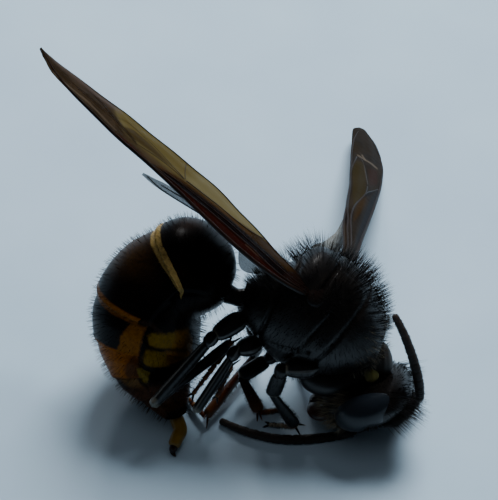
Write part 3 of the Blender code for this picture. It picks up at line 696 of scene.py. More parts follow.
QUARTER_TURN = 0.25
LEAN_ENDS = 0.27


def plate_place(around, at):
    """Counts rings along the plates: rims lie further forward on the sides, and further back on the belly."""
    from_back = np.minimum(np.abs(around % 1.0 - QUARTER_TURN), np.abs(around % 1.0 - 1 - QUARTER_TURN))
    lean = RIM_LEAN * (np.minimum(from_back, LEAN_ENDS) / QUARTER_TURN) ** 2
    return at + lean - BELLY_SET * rises(from_back, 0.262, 0.278)


def tucked(at):
    """The share of full size at a place along the gaster: less just behind each rim."""
    at = np.clip(at, 0, LAST_RING)
    number = np.clip(np.searchsorted(RIM_AT, at, side="right") - 1, 0, len(RIM_AT) - 2)
    start, end = RIM_AT[number], RIM_AT[number + 1]
    share = (at - start) / (end - start)
    step = np.where(number > 0, RIM_STEP * (1 - rises(share, 0.0, 0.45)), 0)
    lip = 0.012 * bump((1 - share) * (end - start), 0.1) * (number < len(RIM_AT) - 2)
    return 1 - step + lip


def gaster(around, along):
    """A place on the gaster's shell."""
    at = np.asarray(along, float) * LAST_RING
    upper_x, upper_z, lower_x, lower_z, width, shift = np.moveaxis(through(GASTER_RINGS, at), -1, 0)
    turn = 2 * math.pi * around
    upper = np.stack([upper_x, shift, upper_z], axis=-1)
    lower = np.stack([lower_x, shift, lower_z], axis=-1)
    up = unit(upper - lower)
    lap = 0.012 * bump(np.sin(turn) - SIDE_LINE - 0.1, 0.08) - 0.022 * bump(np.sin(turn) - SIDE_LINE, 0.05)
    size = tucked(plate_place(around, at)) + lap
    high = np.linalg.norm(upper - lower, axis=-1) / 2 * np.sin(turn) * size
    wide = GASTER_WIDTH * width * np.cos(turn) * size
    return (upper + lower) / 2 + np.array([0, 1, 0]) * wide[..., None] + up * high[..., None]


print("gaster's middle ring, top:", np.round(gaster(np.array([QUARTER_TURN]), np.array([0.5]))[0], 2))

# %% [markdown]
# ### Bands of colour
#
# The bands grow in the shell itself: pigment shows through clear outer layers, so their edges are soft
# and a little ragged. Each mark is a soft-edged patch with straight sides on the unwrap, and its corners
# say how far along the plates and how far from the middle of the back they lie. That makes both sides
# alike, as on the real insect, and the coat can ask the same function for its colour.

# %% Marks on an unwrap
def marked(tree, colour, along, across, marks, size):
    """Lays soft-edged patches over a colour; size is what one step along and one across measure in mm."""
    here = node(tree, "ShaderNodeCombineXYZ", {0: along, 1: across, 2: 1.0}).outputs[0]
    for hexed, most, softness, corners in marks:
        half = softness / 2
        spots = np.array(corners) * size
        following = np.roll(spots, -1, axis=0)
        area = np.sum(spots[:, 0] * following[:, 1] - following[:, 0] * spots[:, 1])
        cover = most
        for start, end in zip(spots, following):
            way = unit([start[1] - end[1], end[0] - start[0]]) * math.copysign(1, area)
            side = (*(way * size), -way @ start)
            inside = node(tree, "ShaderNodeVectorMath", {0: here, 1: side}, operation="DOT_PRODUCT")
            edge = node(tree, "ShaderNodeMapRange",
                        {"Value": inside.outputs["Value"], "From Min": -half, "From Max": half},
                        interpolation_type="SMOOTHSTEP")
            both = node(tree, "ShaderNodeMath", {0: edge.outputs[0], 1: cover}, operation="MULTIPLY")
            cover = both.outputs[0]
        mixed = node(tree, "ShaderNodeMix", {"Factor": cover, 6: colour, 7: shade(hexed)}, data_type="RGBA")
        colour = mixed.outputs[2]
    return colour


print("nodes in a patch with five corners:", 3 * 5 + 1)

# %% [markdown]
# ### The gaster's marks
#
# The first ring has a thin pale rim, the second a brown back and a narrow orange rim; that brown is partly
# the plate's own colour and partly painted glow of light shining through it. The third has an orange rim and
# orange low on its sides; the fourth is orange over the back and browner below. The belly plates carry ochre
# patches with browner halves, and the tail is brown. The marks are a table of corners, laid one over another
# like coats of paint, so that a band is moved by changing a number.

# %% Gaster marks
GASTER_GROUND = ("#060404", "#120b08")
GASTER_STEP = np.array([0.95, 22.0])  # what a ring along and a whole turn measure, in mm
GASTER_MARKS = [
    # colour, most cover, softness in mm, corners: along the plates, turns from the middle of the back
    # The second ring's brown back: partly the plate's own brown, partly painted glow of light shining through
    # it.
    ("#33210c", 0.9, 1.3, [(5.2, -0.2), (5.2, 0.12), (5.8, 0.16), (6.5, 0.09), (6.8, 0.03), (6.8, -0.2)]),
    ("#1c1008", 0.8, 0.8, [(3.3, -0.2), (3.3, 0.05), (4.0, 0.09), (4.4, 0.07), (4.4, -0.2)]),
    ("#8a7440", 1.0, 0.05, [(5.0, -0.2), (5.3, -0.2), (5.3, 0.11), (4.96, 0.11)]),
    ("#857040", 1.0, 0.05, [(4.95, 0.10), (5.3, 0.10), (5.3, 0.285), (4.76, 0.26), (4.72, 0.22)]),
    ("#6a4012", 1.0, 0.08, [(7.0, -0.2), (7.3, -0.2), (7.3, 0.235), (7.0, 0.235)]),
    ("#2a1d18", 0.8, 0.12, [(7.0, 0.24), (7.2, 0.24), (7.2, 0.40), (7.05, 0.40)]),
    ("#864a02", 1.0, 0.12, [(8.44, -0.2), (8.44, 0.10), (8.10, 0.17), (8.10, 0.262), (8.7, 0.262),
                            (8.7, -0.2)]),
    ("#744604", 1.0, 0.20, [(7.28, 0.214), (7.95, 0.202), (8.6, 0.19), (8.6, 0.262), (7.28, 0.262)]),
    ("#864a02", 1.0, 0.14, [(8.50, -0.2), (9.80, -0.2), (9.80, 0.262), (8.50, 0.262)]),
    ("#3f230f", 0.9, 0.5, [(8.6, 0.235), (9.0, 0.222), (9.5, 0.20), (9.9, 0.20), (9.9, 0.27), (8.6, 0.27)]),
    ("#6a4a22", 0.7, 0.3, [(9.88, 0.13), (9.82, 0.24), (10.4, 0.26), (10.3, 0.21)]),
    ("#6c5208", 1.0, 0.22, [(7.36, 0.282), (7.62, 0.273), (7.88, 0.290), (7.72, 0.33), (7.50, 0.37),
                            (6.72, 0.35)]),
    ("#6e4a12", 0.9, 0.3, [(6.70, 0.345), (6.35, 0.405), (6.90, 0.44), (7.40, 0.437), (7.50, 0.355)]),
    ("#6c5208", 1.0, 0.22, [(8.22, 0.281), (8.68, 0.274), (8.98, 0.287), (8.90, 0.325), (8.70, 0.36),
                            (7.85, 0.34)]),
    ("#6e4a12", 0.9, 0.3, [(7.80, 0.337), (7.40, 0.437), (8.03, 0.45), (8.30, 0.408), (8.70, 0.355)]),
    ("#6e5c1a", 1.0, 0.18, [(9.25, 0.257), (9.38, 0.295), (10.1, 0.282), (10.2, 0.266), (9.85, 0.257)]),
    ("#44291a", 0.8, 0.6, [(10.3, -0.2), (10.3, 0.6), (12.2, 0.6), (12.2, -0.2)]),
    ("#3a2210", 0.6, 0.5, [(11.4, -0.2), (12.2, -0.2), (12.2, 0.6), (11.4, 0.6)]),
]


def gaster_colour(tree, place):
    """The gaster's ground colour and bands, for a piece whose unwrap says where each place grows."""
    turn, share = grown_on(tree)
    sides = []
    for middle in (QUARTER_TURN, QUARTER_TURN + 1):
        away = node(tree, "ShaderNodeMath", {0: turn, 1: middle}, operation="SUBTRACT")
        sides.append(node(tree, "ShaderNodeMath", {0: away.outputs[0]}, operation="ABSOLUTE").outputs[0])
    from_back = node(tree, "ShaderNodeMath", {0: sides[0], 1: sides[1]}, operation="MINIMUM").outputs[0]
    held = node(tree, "ShaderNodeMath", {0: from_back, 1: LEAN_ENDS}, operation="MINIMUM").outputs[0]
    square = node(tree, "ShaderNodeMath", {0: held, 1: held}, operation="MULTIPLY").outputs[0]
    rings = node(tree, "ShaderNodeMath", {0: share, 1: float(LAST_RING)}, operation="MULTIPLY")
    plates = node(tree, "ShaderNodeMath", {0: square, 1: RIM_LEAN / QUARTER_TURN ** 2, 2: rings.outputs[0]},
                  operation="MULTIPLY_ADD").outputs[0]
    ragged = node(tree, "ShaderNodeTexNoise",
                  {"Vector": place, "Scale": 1.6, "Detail": 4.0, "Roughness": 0.6})
    sway = node(tree, "ShaderNodeMath", {0: ragged.outputs["Fac"], 1: 0.5}, operation="SUBTRACT").outputs[0]
    along = node(tree, "ShaderNodeMath", {0: sway, 1: 0.08, 2: plates}, operation="MULTIPLY_ADD")
    across = node(tree, "ShaderNodeMath", {0: sway, 1: 0.03, 2: from_back}, operation="MULTIPLY_ADD")
    cloud = node(tree, "ShaderNodeTexNoise", {"Vector": place, "Scale": 0.45, "Detail": 2.0})
    spread = node(tree, "ShaderNodeMapRange",
                  {"Value": cloud.outputs["Fac"], "From Min": 0.45, "From Max": 0.72})
    dark, warm = GASTER_GROUND
    ground = node(tree, "ShaderNodeMix", {"Factor": spread.outputs[0], 6: shade(dark), 7: shade(warm)},
                  data_type="RGBA")
    return marked(tree, ground.outputs[2], along.outputs[0], across.outputs[0], GASTER_MARKS, GASTER_STEP)


print("marks on the gaster:", len(GASTER_MARKS))

# %% [markdown]
# ### Banded chitin
#
# The gaster's plates are smoother than the thorax, with a grain of about a tenth of a millimetre, and the
# pigment lies in them as a fine speckle. A little light passes under their surface. Grain and speckle are
# textures, for they are finer than the mesh.

# %% The gaster's shell
GRAIN_SPACING = 0.09


def banded_cuticle(name):
    """Smooth satin chitin with the gaster's bands and the fine grain of the plates."""
    made, tree, shader, place = finish_of(name)
    grain = node(tree, "ShaderNodeTexVoronoi", {"Vector": place, "Scale": 1 / GRAIN_SPACING})
    speckle = node(tree, "ShaderNodeTexNoise", {"Vector": place, "Scale": 6.0, "Detail": 3.0})
    tone = node(tree, "ShaderNodeMapRange", {"Value": speckle.outputs["Fac"], "From Min": 0.3,
                                             "From Max": 0.7, "To Min": 0.72, "To Max": 1.18})
    mottled = node(tree, "ShaderNodeHueSaturation",
                   {"Value": tone.outputs[0], "Color": gaster_colour(tree, place)})
    swell = node(tree, "ShaderNodeBump",
                 {"Height": grain.outputs["Distance"], "Strength": 0.35, "Distance": 0.008 * METRES})
    feed(tree, shader, {"Base Color": mottled.outputs[0], "Normal": swell.outputs[0], "Roughness": 0.3,
                        "IOR": 1.45, "Specular IOR Level": 0.04, "Subsurface Weight": 0.05,
                        "Subsurface Scale": 0.15 * METRES})
    return made


banded = banded_cuticle("smooth_banded_chitin")
piece("gaster_shell", [skin(gaster, 144, 300)], [banded],
      [f"gaster_{number}" for number in range(1, 7)])

# %% [markdown]
# ## The tail's end
#
# The last ring carries a yellow sheath with the sting in it, a dark needle that stands out a little and
# touches the table. Both are tubes, and a higher power gives the sheath its blunt end.

# %% Sheath and sting
ochre_shell = pitted_cuticle("clear_ochre_chitin", "#6b5214", "#8f7426", 0.38, 0.004, 0.2)
tail_end = np.mean([gaster(np.array([turn]), np.array([1.0]))[0] for turn in np.arange(8) / 8], axis=0)
sting_tip = np.array([-4.55, -2.82, -10.05])
bend = np.array([-4.89, -2.65, -9.63])
sheath = tube([tail_end, [-4.88, -1.7, -8.9], [-4.86, -2.2, -9.25], bend], [0.40, 0.40, 0.38, 0.34],
              power=3.0)
needle = tube([bend + [0, 0, 0.2], bend + [0.1, 0, -0.3], sting_tip], [0.26, 0.22, 0.12, 0.03])
piece("sting_and_sheath", [skin(sheath, 28, 36), skin(needle, 14, 24, finish=1)], [ochre_shell, brown_jaw],
      ["sting"])

# %% [markdown]
# ## Legs
#
# Each leg is a thick hip, a small ring, a strong thigh, a shin that widens to a pair of spurs, and a foot
# of five joints with two claws. The knees are drawn in and the feet lie on the table. An armature could
# bend the legs, but a still model needs only the place of each joint, which says how the dead insect has
# folded them. A joint's place is in the hornet's axes, or on the table where the foot lies there.

# %% Where the legs' joints are
TOE_HEIGHT = 0.10


def leg_places():
    """Hip, ring, knee, ankle and toe of each leg."""
    return {
        "hind_right": [(-3.7, -0.9, -1.3), (-5.0, -2.1, -2.75), (-6.75, -3.65, -7.15), (-3.85, -0.5, -3.2),
                       (-4.9, -1.65, -6.6)],
        "middle_right": [(-2.4, -1.2, -2.3), (-3.55, -2.0, -3.1), (-4.4, -2.9, -6.9), (-3.5, -1.4, -4.1),
                         (-3.6, -1.3, -6.4)],
        "fore_right": [(1.1, -2.2, -2.1), (-0.8, -2.7, -2.8), (-0.75, -1.9, -4.75),
                       from_table(-1.2, -3.5, 0.6), from_table(-2.7, -2.98, TOE_HEIGHT)],
        "hind_left": [(-3.0, 0.9, -1.8), (-3.0, 1.7, -3.1), (-2.3, 3.4, -5.15),
                      from_table(-6.3, -2.75, 0.55), from_table(-8.0, -0.25, TOE_HEIGHT)],
        "middle_left": [(-1.2, 1.0, -2.6), (-1.4, 1.7, -4.2), (-2.7, 1.0, -5.75),
                        from_table(-3.2, -2.35, 0.4), from_table(-1.9, -1.9, TOE_HEIGHT)],
        "fore_left": [(1.8, 1.2, -2.6), (0.9, 2.2, -4.0), (0.0, 4.2, -4.4),
                      from_table(0.6, 4.3, 0.6), from_table(-1.6, 5.3, TOE_HEIGHT)],
    }


def between(start, end, share):
    """A place part of the way from start to end."""
    return np.asarray(start, float) * (1 - share) + np.asarray(end, float) * share


print("legs:", ", ".join(leg_places()))

# %% [markdown]
# ### Limbs
#
# Every limb is a tube whose radius swells and narrows, so a joint looks like one hard case set in
# another. The foot's five joints get smaller and each widens to its end.

# %% Limbs
LEG_WIDTH = 0.9
FOOT_WIDTH = 0.54
FOOT_JOINTS = [0.0, 0.44, 0.60, 0.73, 0.84, 1.0]


def leg_limbs(joints):
    """The tubes of one leg, by name: hip, ring, thigh, shin and the foot's joints."""
    hip, ring, knee, ankle, toe = (np.asarray(joint, float) for joint in joints)
    thigh_way, shin_way, foot_way = unit(knee - ring), unit(ankle - knee), unit(toe - ankle)
    hinge = unit(np.cross(thigh_way, shin_way))
    limbs = {
        "hip": tube([hip, between(hip, ring, 0.5), ring - thigh_way * 0.05], [0.60, 0.66, 0.44], flat=0.8),
        "ring": tube([ring - thigh_way * 0.40, ring + thigh_way * 0.1, ring + thigh_way * 0.62],
                     [0.38, 0.42, 0.36], flat=0.9),
        "thigh": tube([ring + thigh_way * 0.38, between(ring, knee, 0.5), knee + thigh_way * 0.12],
                      [0.36, 0.42, LEG_WIDTH / 2, 0.45, 0.43], flat=0.62, flat_way=hinge, power=4.0),
        "shin": tube([knee - shin_way * 0.12, between(knee, ankle, 0.55), ankle - shin_way * 0.02],
                     [0.22, 0.27, 0.33, 0.37, 0.35], flat=0.8, flat_way=hinge),
    }
    for number, (start, end) in enumerate(zip(FOOT_JOINTS, FOOT_JOINTS[1:])):
        narrow = FOOT_WIDTH * (0.30 - 0.025 * number)
        wide = FOOT_WIDTH * (0.40 - 0.03 * number)
        limbs[f"foot_{number}"] = tube([between(ankle, toe, start) - foot_way * 0.06,
                                        between(ankle, toe, end) + foot_way * 0.03],
                                       [narrow, narrow * 1.05, wide], flat=0.85)
    return limbs


print("limbs and foot joints of a leg:", len(leg_limbs(leg_places()["fore_left"])))

# %% [markdown]
# ### Spurs, thorns and claws
#
# The shin bears a few thorns and ends in two spurs, and two hooked claws hold on at the end of the foot.
# They are stouter than the hairs and show from every side, so they are thin tubes that run out to a point.

# %% Spurs, thorns and claws
THORNS = 4


def spines_and_claws(joints):
    """The shin's two spurs and thorns, and the foot's two hooked claws, as tubes."""
    _, _, knee, ankle, toe = (np.asarray(joint, float) for joint in joints)
    along = unit(ankle - knee)
    across = unit(np.cross(along, toe - ankle))
    away = np.cross(along, across)
    length = np.linalg.norm(ankle - knee)
    made = []
    for number in range(THORNS):
        root = knee + along * length * (0.4 + 0.45 * number / THORNS)
        way = unit(along * 0.8 + (across * (-1) ** number + away * 0.5) * 0.7)
        made.append(tube([root + way * 0.2, root + way * 0.45, root + way * 0.6], [0.05, 0.035, 0.01]))
    for hand in (1, -1):
        root = ankle - along * 0.3
        way = unit(along * 0.9 + across * hand * 0.5 + away * 0.35)
        made.append(tube([root, root + way * 0.5, root + way * 0.95], [0.08, 0.06, 0.015]))
    ahead = unit(toe - ankle)
    aside = unit(np.cross(ahead, SKYWARD))
    for hand in (1, -1):
        made.append(tube([toe - ahead * 0.05, toe + ahead * 0.2 + aside * hand * 0.16,
                          toe + ahead * 0.36 + aside * hand * 0.22 - SKYWARD * 0.09], [0.075, 0.06, 0.015]))
    return made


print("thorns, spurs and claws of a leg:", len(spines_and_claws(leg_places()["fore_left"])))

# %% [markdown]
# ### The legs' colours
#
# Chitin is black where it is thick. It thins towards the foot and lets the orange pigment under it show.
# The shade therefore runs along each limb: it is mixed by the second number of the unwrap, which counts from
# root to tip. A dry thigh catches light on its two narrow edges, so a pale line is painted along each as a
# highlight; the pale end of the thigh's shade is painted light too, the knee's thin rim lit from behind.

# %% Fading chitin
SHEEN = 0.1
LEG_PIT_SPACING = 0.08
# The pale colour of the painted highlight along a thigh's two narrow edges.
EDGE_HIGHLIGHT_SHADE = "#5f6262"


def fading_cuticle(name, shades, roughness=0.36, middle_at=0.55, clear=0.0, edge=0.0):
    """Fine-pitted chitin that changes colour from root to tip; clear lets light in, edge paints a pale
    highlight along its two edges.
    """
    made, tree, shader, place = finish_of(name)
    turn, share = grown_on(tree)
    cloud = node(tree, "ShaderNodeTexNoise", {"Vector": place, "Scale": 1.3, "Detail": 3.0})
    sway = node(tree, "ShaderNodeMath", {0: cloud.outputs["Fac"], 1: 0.3, 2: -0.15}, operation="MULTIPLY_ADD")
    at = node(tree, "ShaderNodeMath", {0: share, 1: sway.outputs[0]}, operation="ADD")
    ramp = node(tree, "ShaderNodeValToRGB", {0: at.outputs[0]})
    root, middle, tip = (shade(hexed) for hexed in shades)
    stops = ramp.color_ramp.elements
    stops[0].position, stops[0].color = 0.1, root
    stops[1].position, stops[1].color = 0.95, tip
    stops.new(middle_at).color = middle
    # A painted highlight: a pale line along each of the limb's two narrow edges.
    twice = node(tree, "ShaderNodeMath", {0: turn, 1: 4 * math.pi}, operation="MULTIPLY")
    ridge = node(tree, "ShaderNodeMath", {0: twice.outputs[0]}, operation="COSINE")
    edge_highlight = node(tree, "ShaderNodeMapRange",
               {"Value": ridge.outputs[0], "From Min": 0.88, "From Max": 0.995, "To Max": edge},
               interpolation_type="SMOOTHSTEP")
    colour = node(tree, "ShaderNodeMix", {"Factor": edge_highlight.outputs[0], 6: ramp.outputs[0], 7: shade(EDGE_HIGHLIGHT_SHADE)},
                  data_type="RGBA")
    pits = node(tree, "ShaderNodeTexVoronoi", {"Vector": place, "Scale": 1 / LEG_PIT_SPACING})
    swell = node(tree, "ShaderNodeBump",
                 {"Height": pits.outputs["Distance"], "Strength": 0.35, "Distance": 0.006 * METRES})
    feed(tree, shader, {"Base Color": colour.outputs[2], "Normal": swell.outputs[0], "Roughness": roughness,
                        "IOR": 1.5, "Specular IOR Level": 0.3, "Sheen Weight": SHEEN, "Sheen Roughness": 0.3,
                        "Subsurface Weight": clear, "Subsurface Scale": 0.4 * METRES})
    return made


# The pale end of this shade is painted light: the knee's thin rim, lit from behind. edge=0.6 lays the painted
# highlight along the edges.
thigh_black = fading_cuticle("satin_black_chitin", ("#080808", "#111315", "#5c5a50"), 0.3,
                             middle_at=0.88, edge=0.6)
slate_shin = fading_cuticle("slate_chitin_with_amber_end", ("#0f0f10", "#17191c", "#7d4a14"),
                            middle_at=0.85, clear=0.2)
red_shin = fading_cuticle("red_chitin_fading_to_amber", ("#1b0905", "#2d1307", "#523012"), clear=0.15)
foot_orange = fading_cuticle("thin_orange_chitin", ("#4a220a", "#5e3410", "#74501f"), 0.42, clear=0.2)
pale_foot = fading_cuticle("thin_pale_chitin", ("#7d7663", "#938d7c", "#8b8474"), 0.42, clear=0.35)
print("made the finishes of thigh, shins and feet")

# %% [markdown]
# ### The legs as pieces
#
# A leg is one piece, because its limbs never move, with three finishes: thigh, shin and foot. The right legs
# have grey shins; the left ones are redder. One foot is pale grey.

# %% Legs
LIMB_FINISH = {"hip": 0, "ring": 0, "thigh": 0, "shin": 1}
FOOT_FINISH = 2

for leg_name, joints in leg_places().items():
    parts = []
    for limb_name, limb in leg_limbs(joints).items():
        slim = limb_name.startswith("foot")
        parts.append(skin(limb, 16 if slim else 28, 12 if slim else 36,
                          finish=LIMB_FINISH.get(limb_name, FOOT_FINISH)))
    parts += [skin(spine, 8, 10, finish=1) for spine in spines_and_claws(joints)]
    shin_finish = slate_shin if leg_name.endswith("right") else red_shin
    foot_finish = pale_foot if leg_name == "fore_right" else foot_orange
    piece(f"leg_{leg_name}", parts, [thigh_black, shin_finish, foot_finish],
          [f"leg_{leg_name}_{limb}" for limb in ("hip", "thigh", "shin", "foot")])

# %% [markdown]
# ## Feelers
#
# A feeler is a long shaft, a small bead at the elbow, and a whip of eleven short joints. The joints are
# drawn by narrowing one tube at even steps, which keeps the whip a single smooth form as on the real one.

# %% The feelers
ANTENNA_WIDTH = 0.52
WHIP_JOINTS = 11
FLOOR_LEVEL = ANTENNA_WIDTH / 2 - 0.05


def whip(points, radius):
    """A feeler's whip: a tube pinched between its joints and narrowed at its tip."""
    plain = tube(points, [radius, radius * 1.05, radius, radius * 0.9, radius * 0.72])
    middle_line = np.asarray(points, float)

    def form(around, along):
        surface = plain(around, along)
        centre = through(middle_line, np.clip(along, 0, 1) * (len(middle_line) - 1))
        share = (along * WHIP_JOINTS) % 1.0
        pinch = 0.88 + 0.12 * rises(share, 0.0, 0.18) * (1 - rises(share, 0.9, 1.0))
        return centre + (surface - centre) * pinch[..., None]
    return form


def feeler_places():
    """Socket, bow and elbow, then the whip's line, of each feeler."""
    return {
        "right": ([on_head(-0.5, 0.3, 1.1), on_head(-0.65, 1.4, 1.45), (6.95, -0.85, -2.25)],
                  [(6.95, -0.85, -2.2), (6.5, -1.1, -1.2), (5.75, -1.15, -0.05), (4.75, -1.15, 1.15),
                   (3.85, -1.1, 2.0)]),
        "left": ([on_head(0.5, 0.3, 0.8), from_table(2.1, -3.5, 0.4), from_table(1.2, -3.85, FLOOR_LEVEL)],
                 [from_table(1.2, -3.85, FLOOR_LEVEL), from_table(-0.6, -4.1, FLOOR_LEVEL),
                  from_table(-2.3, -4.05, FLOOR_LEVEL), from_table(-4.0, -3.55, FLOOR_LEVEL),
                  from_table(-5.5, -2.75, FLOOR_LEVEL)]),
    }


feeler_brown = fading_cuticle("downy_brown_chitin", ("#191513", "#26211f", "#322c29"), 0.55)
for side, (shaft, line) in feeler_places().items():
    radius = ANTENNA_WIDTH / 2
    parts = [skin(tube(shaft, [radius * 0.8, radius * 0.95, radius * 1.05, radius]), 24, 40),
             skin(bead(line[0], radius * 0.95, np.asarray(line[1]) - np.asarray(line[0])), 20, 14),
             skin(whip(line, radius), 24, 150)]
    piece(f"feeler_{side}", parts, [feeler_brown],
          [f"antenna_{side}_{part}" for part in ("shaft", "whip", "tip")])

# %% [markdown]
# ## Wings
#
# A resting hornet's wings are pleated lengthwise, so each forewing is a narrow strap: a stout dark leading
# edge, two brown veins beside it and a golden pane, with the rest folded under. Pleats in the mesh would
# not show, so its outline is drawn as two edges across a straight axis from root to tip.

# %% The wings' outlines
FOREWING_OUTLINE = [
    # share of the length, leading edge and folded edge in millimetres across the axis
    (0.00, -0.85, 0.20), (0.07, -1.50, 0.25), (0.13, -1.80, 0.42), (0.20, -2.00, 0.70), (0.28, -2.05, 0.92),
    (0.36, -1.95, 1.18), (0.46, -1.80, 1.12), (0.57, -1.72, 0.92), (0.68, -1.76, 0.75), (0.78, -1.55, 0.50),
    (0.86, -1.38, 0.30), (0.93, -1.10, 0.15), (0.98, -0.45, 0.05), (1.00, -0.10, 0.05),
]
SPREAD_OUTLINE = [
    (0.00, -0.60, 0.10), (0.14, -1.25, -0.42), (0.28, -1.53, -0.10), (0.42, -1.80, -0.04),
    (0.56, -2.06, 0.00), (0.70, -2.25, 0.17), (0.82, -2.20, 0.30), (0.91, -1.90, 0.38),
    (0.965, -1.45, 0.36), (1.00, -0.75, 0.00),
]
HINDWING_OUTLINE = [
    (0.00, -0.30, 0.30), (0.20, 0.00, 1.20), (0.34, 0.30, 1.90), (0.52, 0.45, 1.60), (0.74, 0.05, 1.00),
    (0.90, -0.20, 0.50), (1.00, -0.08, 0.08),
]
TUCKED_OUTLINE = [
    (0.00, -0.30, 0.30), (0.15, -0.40, 0.50), (0.28, -0.40, 1.10), (0.40, -0.40, 0.70), (0.60, -0.40, 0.30),
    (0.85, -0.30, 0.25), (1.00, -0.08, 0.08),
]

print("places along a forewing's outline:", len(FOREWING_OUTLINE))

# %% [markdown]
# ### The film's form
#
# The pane is a film some thousandths of a millimetre thick. It is drawn 0.07 mm thick, because a closed
# body of that thickness can be made for real. It arches a little and ripples, and the right hindwing,
# which has come unfolded, droops in a lobe near its root.

# %% A wing's film
PANE_THICKNESS = 0.07
WING_ARCH = 0.12
LOBE_AT = 0.26
LOBE_LENGTH = 0.11


def wing_axes(root, tip, chord):
    """Along the wing, across it towards the folded edge, and out of its upper face."""
    along = unit(tip - root)
    across = unit(chord - along * (chord @ along))
    normal = np.cross(along, across)
    return along, across, normal * (1 if normal @ SKYWARD > 0 else -1)


def wing(root, tip, chord, outline, droop=0.0):
    """A wing's middle surface, by share of its chord and share of its length, and its normal."""
    along, across, normal = wing_axes(root, tip, chord)
    length = np.linalg.norm(tip - root)
    stations = np.array([row[0] for row in outline])

    def form(chord_share, length_share):
        at = np.interp(length_share, stations, np.arange(len(outline)))
        _, lead, fold = np.moveaxis(through(outline, at), -1, 0)
        bow = np.sin(math.pi * length_share)
        offset = lead + (fold - lead) * chord_share
        lobe = droop * bump(length_share - LOBE_AT, LOBE_LENGTH)
        ripple = 0.012 * np.sin(chord_share * 19) * bow
        flutter = 0.02 * np.sin(length_share * 40 + chord_share * 5) * chord_share
        curve = np.sin(math.pi * chord_share) + bow
        arch = WING_ARCH * curve - lobe * chord_share ** 2 + (ripple + flutter)
        return (root + along * (length * length_share)[..., None] + across * offset[..., None]
                + normal * arch[..., None])
    return form, normal


def pane(form, normal, columns=40, rows=150):
    """The wing's film as a closed skin: the section runs round from the upper to the lower face."""
    def round_section(around, along):
        there = np.abs(np.asarray(around) * 2 - 1)
        face = np.where(np.asarray(around) < 0.5, 1.0, -1.0)
        edge = np.clip(np.minimum(there, 1 - there) * 12, 0, 1)
        ends = 0.2 + 0.8 * np.clip(np.minimum(along, 1 - along) * 40, 0, 1)
        thick = PANE_THICKNESS / 2 * np.sqrt(edge) * ends
        return form(there, np.asarray(along, float)) + normal * (face * thick)[..., None]
    made = skin(round_section, columns * 2, rows)
    made["unwrap"][:, 0] = np.abs(made["unwrap"][:, 0] * 2 - 1)
    return made


print("a film's thickness in mm:", PANE_THICKNESS)

# %% [markdown]
# ### Veins
#
# Veins are hollow struts that stiffen the film. Painted lines would vanish where the wing is seen from
# its edge, so each vein is a thin tube half sunk in the film. It runs through stops that give a share of
# the wing's length and a share of its chord.

# %% Veins
def vein(form, stops, widths):
    """One vein: a tube along stops, each a share of the length and of the chord."""
    steps = np.linspace(0, len(stops) - 1, len(stops) * 5)
    length_share, chord_share = np.moveaxis(through(stops, steps), -1, 0)
    line = form(np.clip(chord_share, 0, 1), np.clip(length_share, 0, 1))
    return skin(tube(line, widths), 10, len(steps) * 2, finish=1)


FOREWING_VEINS = [
    # radii from root to tip in mm, then stops: share of the length, share of the chord
    ((0.13, 0.10, 0.05), [(0.0, 0.06), (0.2, 0.03), (0.45, 0.02), (0.7, 0.02), (0.87, 0.06), (0.99, 0.3)]),
    ((0.09, 0.08, 0.06), [(0.0, 0.18), (0.13, 0.23), (0.20, 0.29), (0.31, 0.25), (0.43, 0.14),
                          (0.54, 0.06), (0.62, 0.0)]),
    ((0.06, 0.05, 0.05), [(0.0, 0.42), (0.13, 0.46), (0.23, 0.43), (0.29, 0.40), (0.37, 0.31),
                          (0.48, 0.22), (0.56, 0.08)]),
    ((0.06, 0.065, 0.06), [(0.185, 0.95), (0.23, 0.72), (0.28, 0.62), (0.35, 0.53), (0.40, 0.46),
                           (0.46, 0.39)]),
    ((0.05, 0.045, 0.04), [(0.46, 0.39), (0.51, 0.47), (0.56, 0.57), (0.61, 0.63), (0.66, 0.68),
                           (0.69, 0.66), (0.72, 0.52)]),
    ((0.05, 0.045, 0.04), [(0.46, 0.39), (0.53, 0.38), (0.58, 0.33), (0.63, 0.25), (0.66, 0.24),
                           (0.70, 0.32)]),
    ((0.045, 0.045, 0.04), [(0.46, 0.39), (0.48, 0.69), (0.49, 0.98)]),
    ((0.06, 0.06, 0.04), [(0.0, 0.95), (0.15, 0.98), (0.35, 0.98), (0.55, 0.98), (0.8, 0.97), (0.98, 0.8)]),
    ((0.04, 0.04, 0.03), [(0.67, 0.03), (0.73, 0.10), (0.77, 0.09), (0.84, 0.03)]),
    ((0.04, 0.04, 0.03), [(0.70, 0.32), (0.72, 0.40), (0.77, 0.36), (0.83, 0.37), (0.90, 0.29),
                          (0.95, 0.30)]),
    ((0.04, 0.04, 0.03), [(0.69, 0.37), (0.74, 0.50), (0.81, 0.69), (0.90, 0.66)]),
]
SPREAD_VEINS = [
    ((0.14, 0.10, 0.05), [(0.0, 0.05), (0.2, 0.03), (0.45, 0.03), (0.7, 0.03), (0.87, 0.05), (0.99, 0.3)]),
    ((0.07, 0.06, 0.05), [(0.02, 0.46), (0.2, 0.55), (0.33, 0.72), (0.38, 0.75), (0.44, 0.70),
                          (0.55, 0.46), (0.62, 0.43)]),
    ((0.05, 0.05, 0.04), [(0.62, 0.43), (0.68, 0.52), (0.75, 0.64), (0.78, 0.80)]),
    ((0.07, 0.06, 0.05), [(0.02, 0.7), (0.13, 0.73), (0.26, 0.80), (0.33, 0.82), (0.40, 0.92),
                          (0.52, 0.95), (0.66, 0.96), (0.78, 0.82)]),
    ((0.06, 0.05, 0.05), [(0.55, 0.46), (0.58, 0.38), (0.62, 0.22), (0.66, 0.08)]),
    ((0.06, 0.06, 0.04), [(0.0, 0.95), (0.3, 0.97), (0.6, 0.97), (0.85, 0.96), (0.97, 0.8)]),
]
